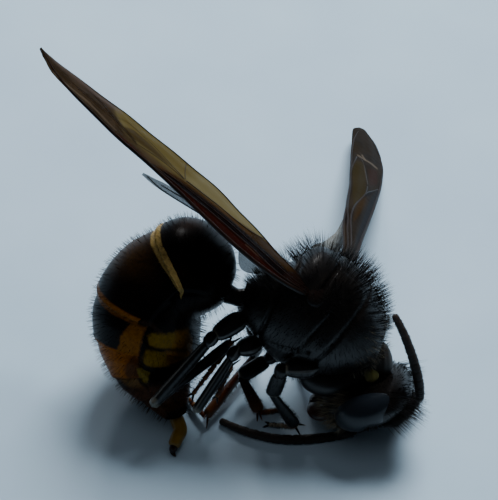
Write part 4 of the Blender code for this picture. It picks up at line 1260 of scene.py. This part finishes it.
HINDWING_VEINS = [
    ((0.05, 0.04, 0.03), [(0.0, 0.1), (0.3, 0.04), (0.6, 0.04), (0.85, 0.06), (0.98, 0.3)]),
    ((0.05, 0.04, 0.03), [(0.02, 0.5), (0.2, 0.35), (0.4, 0.3), (0.6, 0.35), (0.9, 0.4)]),
]

print("veins in a forewing:", len(FOREWING_VEINS))

# %% [markdown]
# ### Wing film
#
# The film is smoky brown at the tip, golden in the long pane and dark along the leading edge, with a black
# painted shadow line between that edge and the pane and a thin painted highlight along a vein near the root.
# Its marks are drawn on the unwrap as on the gaster. A constant share of see-through, set on the shader, lets
# the table and the body show faintly behind it; a fair roughness and a weak reflection give the waxy look of
# a dry wing.

# %% Wing marks
WING_STEP = np.array([20.0, 2.6])  # what a forewing's length and its chord measure, in mm
NEAR_MARKS = [
    # colour, most cover, softness in mm, corners: share of the length, share of the chord
    ("#504a30", 1.0, 0.4, [(0.12, 1.3), (0.19, 0.88), (0.28, 0.60), (0.46, 0.36), (0.66, 0.26),
                           (0.735, 0.72), (0.72, 1.3)]),
    ("#453d1f", 1.0, 1.0, [(0.42, 1.3), (0.47, 0.33), (0.66, 0.26), (0.735, 0.72), (0.72, 1.3)]),
    ("#241a0a", 0.8, 0.25, [(0.50, 0.42), (0.58, 0.34), (0.66, 0.28), (0.68, 0.40), (0.66, 0.60),
                            (0.58, 0.55)]),
    ("#1a1209", 0.8, 0.16, [(0.62, 0.21), (0.63, 0.30), (0.74, 0.56), (0.77, 0.50), (0.70, 0.34)]),
    ("#1a1209", 0.8, 0.14, [(0.72, 0.46), (0.74, 0.56), (0.82, 0.75), (0.85, 0.71), (0.80, 0.58)]),
    ("#1a130c", 0.8, 0.12, [(0.71, 0.37), (0.71, 0.44), (0.83, 0.41), (0.92, 0.31), (0.92, 0.27),
                            (0.83, 0.34)]),
    ("#453c31", 0.7, 0.12, [(0.69, 0.09), (0.69, 0.15), (0.80, 0.22), (0.86, 0.16), (0.80, 0.15)]),
    ("#453c31", 0.7, 0.12, [(0.80, 0.22), (0.80, 0.16), (0.93, 0.03), (0.93, 0.08)]),
    ("#41352e", 0.5, 0.4, [(0.71, 0.72), (0.73, 1.3), (0.98, 1.3), (0.98, 0.55)]),
    ("#221606", 1.0, 0.12, [(-0.1, 0.3), (-0.1, 1.3), (0.12, 1.3), (0.19, 0.91), (0.25, 0.68),
                            (0.25, 0.3)]),
    ("#2e1e09", 1.0, 0.14, [(0.22, 0.3), (0.22, 0.72), (0.35, 0.51), (0.46, 0.38), (0.53, 0.24),
                            (0.55, 0.1), (0.50, 0.0)]),
    # A black band between the red-brown leading edge and the golden pane: a painted shadow line.
    ("#060303", 1.0, 0.42, [(-0.1, 0.1), (-0.1, 0.58), (0.14, 0.61), (0.29, 0.52), (0.42, 0.36),
                            (0.52, 0.19), (0.57, -0.3)]),
    ("#190502", 1.0, 0.14, [(-0.1, -0.3), (-0.1, 0.18), (0.20, 0.29), (0.31, 0.25), (0.55, 0.06),
                            (0.62, -0.05), (0.62, -0.3)]),
    # A thin pale line near the root: a painted highlight along a vein.
    ("#33261f", 0.8, 0.05, [(0.07, 0.20), (0.07, 0.235), (0.22, 0.265), (0.22, 0.23)]),
    ("#240805", 0.95, 0.16, [(0.54, 0.02), (0.56, 0.06), (0.66, 0.10), (0.71, 0.02), (0.71, -0.3),
                             (0.54, -0.3)]),
    ("#120907", 0.9, 0.5, [(-0.1, -0.3), (-0.1, 1.3), (0.03, 1.3), (0.08, 0.8), (0.09, 0.3), (0.09, -0.3)]),
]
FAR_MARKS = [
    ("#241d09", 1.0, 0.16, [(0.74, 0.85), (0.68, 0.94), (0.52, 0.87), (0.43, 0.74), (0.55, 0.46),
                            (0.61, 0.48), (0.75, 0.64)]),
    ("#24140a", 0.9, 0.2, [(0.73, 0.50), (0.78, 0.21), (0.69, 0.14), (0.63, 0.36)]),
    ("#251803", 1.0, 0.3, [(0.49, 0.60), (0.55, 0.37), (0.50, 0.34), (0.39, 0.46), (0.33, 0.61),
                           (0.40, 0.68)]),
    ("#1a1b1e", 0.9, 0.25, [(-0.1, -0.3), (-0.1, 0.30), (0.32, 0.30), (0.56, 0.24), (0.64, 0.14),
                            (0.70, -0.3)]),
    ("#100a07", 1.0, 0.10, [(0.54, 0.45), (0.56, 0.30), (0.62, 0.18), (0.61, 0.28), (0.57, 0.44)]),
    ("#5a5248", 0.5, 0.06, [(0.775, 0.82), (0.788, 0.82), (0.79, 0.58), (0.776, 0.58)]),
    ("#5a5248", 0.5, 0.06, [(0.776, 0.60), (0.79, 0.60), (0.80, 0.20), (0.787, 0.20)]),
    ("#544c42", 0.7, 0.08, [(0.78, 0.60), (0.80, 0.72), (0.81, 0.68), (0.79, 0.58)]),
    ("#544c42", 0.6, 0.06, [(0.62, 0.46), (0.68, 0.55), (0.74, 0.66), (0.74, 0.63), (0.68, 0.52)]),
    ("#0f0907", 0.9, 0.10, [(0.29, 0.79), (0.29, 0.86), (0.34, 1.05), (0.36, 1.05), (0.35, 0.84)]),
    ("#40372b", 0.6, 0.10, [(0.10, 0.86), (0.10, 0.94), (0.32, 1.0), (0.32, 0.94)]),
]

print("marks on the forewings:", len(NEAR_MARKS) + len(FAR_MARKS))

# %% [markdown]
# ### The wings as pieces
#
# Each wing is one piece: its film and its veins. The hindwings are tucked under the forewings, so their
# tips are placed by the forewings' axes.

# %% Wings
def wing_film(name, ground, deep, marks, see_through):
    """A wing's film with its marks; its wrinkles are about a third of a millimetre apart."""
    made, tree, shader, place = finish_of(name)
    chord_share, length_share = grown_on(tree)
    ragged = node(tree, "ShaderNodeTexNoise", {"Vector": place, "Scale": 0.9, "Detail": 4.0})
    sway = node(tree, "ShaderNodeMath", {0: ragged.outputs["Fac"], 1: 0.5}, operation="SUBTRACT").outputs[0]
    across = node(tree, "ShaderNodeMath", {0: sway, 1: 0.04, 2: chord_share}, operation="MULTIPLY_ADD")
    along = node(tree, "ShaderNodeMath", {0: sway, 1: 0.02, 2: length_share}, operation="MULTIPLY_ADD")
    cloud = node(tree, "ShaderNodeTexNoise", {"Vector": place, "Scale": 0.8, "Detail": 5.0, "Roughness": 0.6})
    spread = node(tree, "ShaderNodeMapRange",
                  {"Value": cloud.outputs["Fac"], "From Min": 0.35, "From Max": 0.65})
    smoke = node(tree, "ShaderNodeMix", {"Factor": spread.outputs[0], 6: shade(ground), 7: shade(deep)},
                 data_type="RGBA")
    colour = marked(tree, smoke.outputs[2], along.outputs[0], across.outputs[0], marks, WING_STEP)
    wrinkles = node(tree, "ShaderNodeTexNoise", {"Vector": place, "Scale": 3.0, "Detail": 3.0})
    swell = node(tree, "ShaderNodeBump",
                 {"Height": wrinkles.outputs["Fac"], "Strength": 0.4, "Distance": 0.04 * METRES})
    feed(tree, shader, {"Base Color": colour, "Normal": swell.outputs[0], "Roughness": 0.42, "IOR": 1.4,
                        "Specular IOR Level": 0.04, "Alpha": see_through})
    return made


vein_brown = pitted_cuticle("red_brown_vein_chitin", "#100805", "#1c0f09", 0.45, 0.003, 0.1)
near_film = wing_film("amber_wing_film", "#20180e", "#2e2418", NEAR_MARKS, 0.94)
far_film = wing_film("smoky_wing_film", "#17110a", "#211a11", FAR_MARKS, 0.97)
hind_film = wing_film("grey_wing_film", "#4a4a45", "#6a6a64", [], 0.6)

right_fore = (np.array([-0.9, -2.0, 2.0]), np.array([-19.3, 0.25, 8.65]), np.array([0.57, 2.85, 0.39]))
left_fore = (np.array([-0.1, 1.9, 2.0]), from_table(3.09, 20.25, 0.66), np.array([-1.8, -0.4, 1.5]) @ TURN)


def beneath(fore, share, across_by, below_by):
    """A place under a forewing: a share along it, and millimetres across and below its axis."""
    root, tip, chord = fore
    _, across, normal = wing_axes(root, tip, chord)
    return between(root, tip, share) + across * across_by - normal * below_by


WINGS = {
    "forewing_right": (wing(*right_fore, FOREWING_OUTLINE), FOREWING_VEINS, near_film),
    "forewing_left": (wing(*left_fore, SPREAD_OUTLINE), SPREAD_VEINS, far_film),
    "hindwing_right": (wing(np.array([-1.8, -1.3, 1.1]), beneath(right_fore, 0.56, -0.92, 1.1), right_fore[2],
                            HINDWING_OUTLINE, droop=1.9), HINDWING_VEINS, hind_film),
    "hindwing_left": (wing(np.array([-0.7, 1.9, 1.0]), beneath(left_fore, 0.56, -1.2, 1.1), left_fore[2],
                           TUCKED_OUTLINE), HINDWING_VEINS, hind_film),
}
for wing_name, ((form, normal), veins, film) in WINGS.items():
    parts = [pane(form, normal)]
    parts += [vein(form, stops, widths) for widths, stops in veins]
    piece(f"{wing_name}_film", parts, [film, vein_brown], [wing_name])

# %% [markdown]
# ## The coat
#
# A hornet is covered with short stiff hairs: dense and upright on the thorax and head, sparse on the
# gaster, a fine nap on the limbs. Particle hair would be lost in the exported model, so each hair is a
# closed, bent, three-sided needle. Roots are drawn at random by area on the same formula as the skin, so
# every hair stands on its shell. A hair that would reach below the table or far out of the solids' box is
# left out.

# %% Growing hairs
BEND_AT = 0.55
NEEDLE_SHARE = np.array([0, 0, 0, BEND_AT, BEND_AT, BEND_AT, 1.0])
NARROWED = 0.7
TABLE_CLEAR = 0.03
BOW = 0.025
SPARE = 0.02 * (np.array(solid_box[1]) - np.array(solid_box[0]))
LEAST = (np.array(solid_box[0]) - SPARE) / METRES
MOST = (np.array(solid_box[1]) + SPARE) / METRES


def outward(shape, around, along):
    """The direction out of a skin at places on it, and how much skin a small step there covers."""
    step = 1e-3
    here = shape(around, along)
    round_by = (shape(around + step, along) - here) / step
    back, ahead = np.clip(along - step, 0, 1), np.clip(along + step, 0, 1)
    along_by = (shape(around, ahead) - shape(around, back)) / (ahead - back)[..., None]
    way = np.cross(along_by, round_by)
    cover = np.linalg.norm(way, axis=-1)
    away = np.sum(way * (here - shape(around + 0.5, along)), axis=-1)
    return unit(way) * np.where(away < 0, -1, 1)[..., None], cover


def grow(shape, count, length, radius, draw, lie=(0, 0, 0), spread=0.2, where=None, ends=(0, 1),
         sheet=(0, 0, 1, 1)):
    """Up to count hairs on a skin: lie leans them, where says how thick they stand, ends bounds them."""
    tries = count * 5
    around, along = draw.random(tries), ends[0] + (ends[1] - ends[0]) * draw.random(tries)
    roots = shape(around, along)
    ways, cover = outward(shape, around, along)
    weight = cover * (1 if where is None else where(roots, ways, around, along))
    count = min(count, int(np.count_nonzero(weight > 0)))
    picked = draw.choice(tries, size=count, replace=False, p=weight / weight.sum())
    around, along, roots, ways = around[picked], along[picked], roots[picked], ways[picked]
    ways = unit(ways + np.asarray(lie) + draw.normal(0, spread, (count, 3)))
    lengths = (length(roots, ways, around, along) if callable(length) else np.full(count, float(length)))
    lengths = lengths * draw.uniform(0.65, 1.15, count)
    side = unit(np.cross(ways, [0.31, 0.52, 0.79]))
    other = np.cross(ways, side)
    droop = side * draw.normal(0, BOW, (count, 1)) + other * draw.normal(0, BOW, (count, 1))
    points = np.empty((count, 7, 3))
    for corner in range(3):
        turn = 2 * math.pi * corner / 3
        ring = side * math.cos(turn) + other * math.sin(turn)
        points[:, corner] = roots + ring * radius - ways * radius
        points[:, corner + 3] = (roots + ring * radius * NARROWED
                                 + (ways + droop * 0.4) * (lengths * BEND_AT)[:, None])
    points[:, 6] = roots + (ways + droop) * lengths[:, None]
    tips = laid(points[:, 6])
    kept = (tips[:, 2] > TABLE_CLEAR) & np.all((tips > LEAST) & (tips < MOST), axis=1)
    grown = np.stack([sheet[0] + sheet[2] * around, sheet[1] + sheet[3] * along], axis=1)
    return points[kept], grown[kept], draw.random(count)[kept]


print("longest reach of a hair past the solids' box in mm:", np.round(SPARE / METRES, 2))

# %% [markdown]
# ### A coat as one piece
#
# Each hair takes its colour from its root's place on the skin's unwrap. On the map OFBake a hair is a
# small patch at that place, a few thousandths of the map across, so that hairs side by side don't share
# one. The map Strand holds how far along a hair a place is, and a number drawn for each hair.

# %% Coats
NEEDLE_FACES = [(0, 2, 1), (0, 1, 4, 3), (1, 2, 5, 4), (2, 0, 3, 5), (3, 4, 6), (4, 5, 6), (5, 3, 6)]
PATCH = 0.0015
NEEDLE_PATCH = np.array([(-1, -1), (1, -1), (0, -0.7), (-0.6, 0), (0.6, 0), (0, 0.3), (0, 1)]) * PATCH
MAP_EDGE = 0.003


def coat(name, crops, finish):
    """Makes crops of hairs one piece, with the maps that place every hair on its skin's unwrap."""
    points = np.concatenate([crop[0] for crop in crops])
    grown = np.concatenate([crop[1] for crop in crops])
    chance = np.concatenate([crop[2] for crop in crops])
    count = len(points)
    corners = np.concatenate([np.array(face) for face in NEEDLE_FACES])
    loops = (np.arange(count)[:, None] * 7 + corners).ravel()
    sizes = np.tile([len(face) for face in NEEDLE_FACES], count)
    mesh = bpy.data.meshes.new(name)
    mesh.vertices.add(count * 7)
    mesh.vertices.foreach_set("co", (laid(points.reshape(-1, 3)) * METRES).astype(np.float32).ravel())
    mesh.loops.add(len(loops))
    mesh.loops.foreach_set("vertex_index", loops.astype(np.int32))
    mesh.polygons.add(len(sizes))
    mesh.polygons.foreach_set("loop_start", (np.cumsum(sizes) - sizes).astype(np.int32))
    places = np.repeat(grown, len(corners), axis=0)
    patch = np.tile(NEEDLE_PATCH[corners], (count, 1))
    strand = np.stack([np.tile(NEEDLE_SHARE[corners], count), np.repeat(chance, len(corners))], axis=1)
    baked = MAP_EDGE + (1 - 2 * MAP_EDGE) * places + patch
    for label, values in (("Unwrap", places), ("OFBake", baked), ("Strand", strand)):
        mesh.uv_layers.new(name=label).data.foreach_set("uv", values.astype(np.float32).ravel())
    mesh.uv_layers["OFBake"].active_render = True
    mesh.materials.append(finish)
    mesh.update(calc_edges=True)
    mesh.shade_smooth()
    made = bpy.data.objects.new(name, mesh)
    bpy.context.collection.objects.link(made)
    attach(made, ROOT)
    print(f"{name}: {count} hairs, {count * 10} triangles")
    return made


print("triangles in a hair:", sum(len(face) - 2 for face in NEEDLE_FACES))

# %% [markdown]
# ### Hair
#
# Hair is the same chitin as the shell, drawn out to a bristle a hundredth of a millimetre thick; it is drawn
# about twice as thick so that it shows. It is nearly black at its root and painted lighter towards its tip,
# as backlight shining through its thin end. On the gaster it also takes about half of its colour from the
# shell that it grows from.

# %% Hair's finish
def bristle(name, root_shade, backlit_tip_shade, colour_of=None):
    """Chitin bristle: darker at its root and painted lighter towards its tip as backlight, each one a little
    lighter or darker than the next.
    """
    made, tree, shader, place = finish_of(name)
    share, chance = grown_on(tree, "Strand")
    # The lighter tip colour is painted backlight, shining through the bristle's thin end.
    colour = node(tree, "ShaderNodeMix", {"Factor": share, 6: shade(root_shade), 7: shade(backlit_tip_shade)},
                  data_type="RGBA").outputs[2]
    if colour_of is not None:
        colour = node(tree, "ShaderNodeMix", {"Factor": 0.45, 6: colour, 7: colour_of(tree, place)},
                      data_type="RGBA").outputs[2]
    tone = node(tree, "ShaderNodeMapRange", {"Value": chance, "To Min": 0.6, "To Max": 1.3})
    varied = node(tree, "ShaderNodeHueSaturation", {"Value": tone.outputs[0], "Color": colour})
    feed(tree, shader, {"Base Color": varied.outputs[0], "Roughness": 0.5, "IOR": 1.5,
                        "Specular IOR Level": 0.2})
    return made


# The second colour of each bristle is its tip, painted lighter as backlight.
black_hair = bristle("black_bristle", "#0b0b0b", "#262321")
banded_hair = bristle("banded_bristle", "#070504", "#21180f", gaster_colour)
pale_hair = bristle("pale_straw_bristle", "#4a4438", "#8c8470")
print("made", black_hair.name, banded_hair.name, pale_hair.name)

# %% [markdown]
# ### Where the hair grows: the thorax
#
# The thorax has the longest pile, upright on the back and shorter low on the sides. It is bare in the
# seams and thin on the scutellum. A painted map could say so, but two formulas of a root's place do it
# with the same numbers that press the seams in.

# %% The thorax's coat
BACKWARD = np.array([-1.0, 0, 0])


def thorax_length(roots, ways, around, along):
    """Long on the back and behind the head, short low on the sides."""
    return 0.40 + 0.82 * rises(roots[:, 2], -0.3, 2.6)


def thorax_cover(roots, ways, around, along):
    """Bare in the seams, thin on the scutellum's dome and low on the sides."""
    press = seams(roots[:, 0], roots[:, 1], roots[:, 2])
    dome = bump(roots[:, 0] + 0.9, 0.8) * rises(roots[:, 2], 2.0, 2.6)
    return (1 - rises(-press, 0.04, 0.12)) * (0.35 + 0.65 * rises(roots[:, 2], -2.0, 1.5)) * (1 - 0.75 * dome)


draw = np.random.default_rng(11)
coat("thorax_coat", [grow(thorax, 5600, thorax_length, 0.0105, draw, BACKWARD * 0.10, 0.06, thorax_cover)],
     black_hair)

# %% [markdown]
# ### Where the hair grows: the head
#
# The crown and brow are bristly, with a tuft of long parallel bristles on each side above the eye, and
# the face is short-haired. Beside each jaw's root lies a patch of pale hair.

# %% The head's coat
def head_place(roots):
    """How far up the face and how far out of it each root is, in the head's own axes."""
    return (roots - HEAD_CENTRE) @ HEAD_UP, (roots - HEAD_CENTRE) @ HEAD_OUT


def brow_length(roots, ways, around, along):
    """Long on the crown and brow, short on the cheeks and lower face."""
    up, out = head_place(roots)
    return 0.20 + 0.55 * rises(up, 0.6, 1.6) * rises(out, -1.0, 0.3)


def brow_cover(roots, ways, around, along):
    """Thick on the brow, thin on the rest of the face and where the eyes are."""
    up, out = head_place(roots)
    aside = np.abs(roots[:, 1])
    return (1 - rises(aside, 2.0, 2.5)) * (0.35 + 0.9 * rises(out, 0.2, 0.9) * bump(up - 1.1, 0.9))


def tuft_cover(roots, ways, around, along):
    """A tuft of parallel bristles on each side of the brow, above the eye."""
    up, out = head_place(roots)
    return bump(up - 2.05, 0.5) * bump(out - 0.2, 0.6) * bump(np.abs(roots[:, 1]) - 1.7, 0.7)


def cheek_cover(roots, ways, around, along):
    """A patch of pale hair on each cheek, beside the jaw's root."""
    up, out = head_place(roots)
    return bump(up + 1.55, 0.5) * bump(out + 0.35, 0.6) * rises(np.abs(roots[:, 1]), 0.6, 1.2)


crown = grow(head, 2600, brow_length, 0.012, draw, HEAD_UP * 0.25 + HEAD_OUT * 0.1, 0.07, brow_cover)
tufts = grow(head, 520, 1.55, 0.013, draw, HEAD_UP * 0.8 + HEAD_OUT * 0.8, 0.05, tuft_cover)
coat("head_coat", [crown, tufts], black_hair)
coat("cheek_coat", [grow(head, 1100, 0.66, 0.009, draw, HEAD_UP * -1.1, 0.06, cheek_cover)], pale_hair)

# %% [markdown]
# ### Where the hair grows: the gaster
#
# The gaster's hairs are short and sparse and lean back, longer below and towards the tail. One crop is
# enough, because its finish works out the band that each hair stands on.

# %% The gaster's coat
def gaster_length(roots, ways, around, along):
    """Short on the plates, longer below and towards the tail."""
    return 0.40 + 0.10 * rises(along, 0.6, 0.95) + 0.15 * bump(around - 0.75, 0.12)


def gaster_cover(roots, ways, around, along):
    """Even, but thinner on the smooth front plate."""
    return 0.55 + 0.45 * rises(along, 0.15, 0.5)


coat("gaster_coat", [grow(gaster, 3200, gaster_length, 0.011, draw, BACKWARD * 0.05 + [0, 0, -0.25], 0.10,
                          gaster_cover)], banded_hair)

# %% [markdown]
# ### The nap of the limbs
#
# Limbs carry a fine, short nap, and the neck and collar a fringe of pale hairs. Each limb has its own
# square on the unwrap, so that no two limbs' hairs share a place.

# %% Coats of the limbs and neck
SQUARES = 6


def square(number):
    """The corner and size of one square on a sheet of equal squares."""
    return (number % SQUARES / SQUARES, number // SQUARES % SQUARES / SQUARES, 1 / SQUARES, 1 / SQUARES)


NAP = {"hip": (260, 0.24), "ring": (60, 0.12), "thigh": (300, 0.12), "shin": (460, 0.16)}
for leg_name, joints in leg_places().items():
    crops = []
    for number, (limb_name, limb) in enumerate(leg_limbs(joints).items()):
        count, length = NAP.get(limb_name, (110, 0.11))
        crops.append(grow(limb, count, length, 0.008, draw, spread=0.2, ends=(0.04, 0.96),
                          sheet=square(number)))
    coat(f"leg_{leg_name}_coat", crops, black_hair)

for side, (shaft, line) in feeler_places().items():
    crops = [grow(tube(shaft, [0.21, 0.25, 0.27, 0.26]), 500, 0.16, 0.011, draw, spread=0.3, sheet=square(0)),
             grow(whip(line, ANTENNA_WIDTH / 2), 1400, 0.06, 0.010, draw, spread=0.3, sheet=square(1))]
    coat(f"feeler_{side}_coat", crops, black_hair)


def collar_cover(roots, ways, around, along):
    """The front edge of the thorax, below its shoulders."""
    return rises(roots[:, 0], 2.7, 3.2) * (1 - rises(roots[:, 2], 0.4, 1.2))


coat("neck_coat", [grow(neck, 200, 0.4, 0.010, draw, spread=0.15, ends=(0.0, 0.45), sheet=square(0)),
                   grow(thorax, 420, 0.5, 0.010, draw, [0.5, 0, -0.2], 0.12, collar_cover, sheet=square(1))],
     pale_hair)

# %% [markdown]
# ## Table, light and camera
#
# The hornet lies on a pale, slightly blue table top. Most light comes from a wide window above and behind
# it, so the shadow falls towards us. A faint ceiling light and the sky fill the rest, and one small bright
# lamp, a gap in the clouds, gives the shells and the eyes their lights.

# %% The table top
TABLE_HALF = 600 * METRES


def lay_table():
    """A pale painted table top, clouded a little, under the hornet."""
    top, tree, shader, place = finish_of("painted_table_top")
    cloud = node(tree, "ShaderNodeTexNoise", {"Vector": place, "Scale": 0.12, "Detail": 3.0})
    paint = node(tree, "ShaderNodeMix",
                 {"Factor": cloud.outputs["Fac"], 6: shade("#99b4ca"), 7: shade("#adc7da")}, data_type="RGBA")
    feed(tree, shader, {"Base Color": paint.outputs[2], "Roughness": 0.5})
    corners = [(x * TABLE_HALF, y * TABLE_HALF, 0) for x, y in ((-1, -1), (1, -1), (1, 1), (-1, 1))]
    mesh = bpy.data.meshes.new("table_top")
    mesh.from_pydata(corners, [], [(0, 1, 2, 3)])
    mesh.materials.append(top)
    table_top = bpy.data.objects.new("table_top", mesh)
    bpy.context.collection.objects.link(table_top)


lay_table()
print("table top laid, half side in m:", TABLE_HALF)

# %% [markdown]
# ### Lights
#
# The window and the ceiling light the scene softly but don't show in the shell's gloss, which would turn
# its black into grey; only the gap in the clouds and the sky are seen there. The sky is a little brighter
# in the direction of the window.

# %% Lamps and sky
LAMPS = [
    # name, place and width in mm, power in watts, seen in the gloss
    ("window", (55, 130, 200), 120, 1.12, False),
    ("ceiling", (-30, -50, 260), 240, 0.075, False),
    ("gap_in_clouds", (-20, 210, 120), 26, 0.08, True),
]


def hang_lamps():
    """The three lamps, each turned to the hornet."""
    for name, place, width, power, shines in LAMPS:
        lamp = bpy.data.lights.new(name, "AREA")
        lamp.size = width * METRES
        lamp.energy = power
        light = bpy.data.objects.new(name, lamp)
        light.location = Vector(place) * METRES
        light.rotation_euler = (-light.location).to_track_quat("-Z", "Y").to_euler()
        light.visible_glossy = shines
        bpy.context.collection.objects.link(light)


def spread_sky():
    """A pale sky, brighter behind the hornet."""
    sky = bpy.data.worlds.new("pale_sky")
    sky.use_nodes = True
    tree = sky.node_tree
    way = node(tree, "ShaderNodeTexCoord").outputs["Generated"]
    behind = node(tree, "ShaderNodeSeparateXYZ", {0: way}).outputs["Y"]
    level = node(tree, "ShaderNodeMapRange",
                 {"Value": behind, "From Min": 0.4, "From Max": 1.0, "To Min": 0.035, "To Max": 0.42})
    feed(tree, tree.nodes["Background"], {"Color": shade("#dfe6f2"), "Strength": level.outputs[0]})
    bpy.context.scene.world = sky


hang_lamps()
spread_sky()
print("lamps:", [lamp[0] for lamp in LAMPS])

# %% [markdown]
# ### Camera
#
# The camera looks down at 48 degrees, as in the photograph. A long lens, far back, keeps the parallel
# look of a close-up that was taken from a distance.

# %% Camera
LENS = 169.2
SENSOR_WIDTH = 36
CAMERA_PLACE = (0.857, -91.916, 105.311)
CAMERA_TILT = math.radians(42)


def set_camera():
    """The camera at the photograph's viewing angle."""
    lens = bpy.data.cameras.new("camera")
    lens.lens = LENS
    lens.sensor_width = SENSOR_WIDTH
    lens.sensor_fit = "HORIZONTAL"
    lens.clip_start = 0.005
    camera = bpy.data.objects.new("camera", lens)
    camera.location = Vector(CAMERA_PLACE) * METRES
    camera.rotation_euler = (CAMERA_TILT, 0, 0)
    bpy.context.collection.objects.link(camera)
    bpy.context.scene.camera = camera


set_camera()
print("camera's distance in mm:", round(math.hypot(*CAMERA_PLACE), 1))
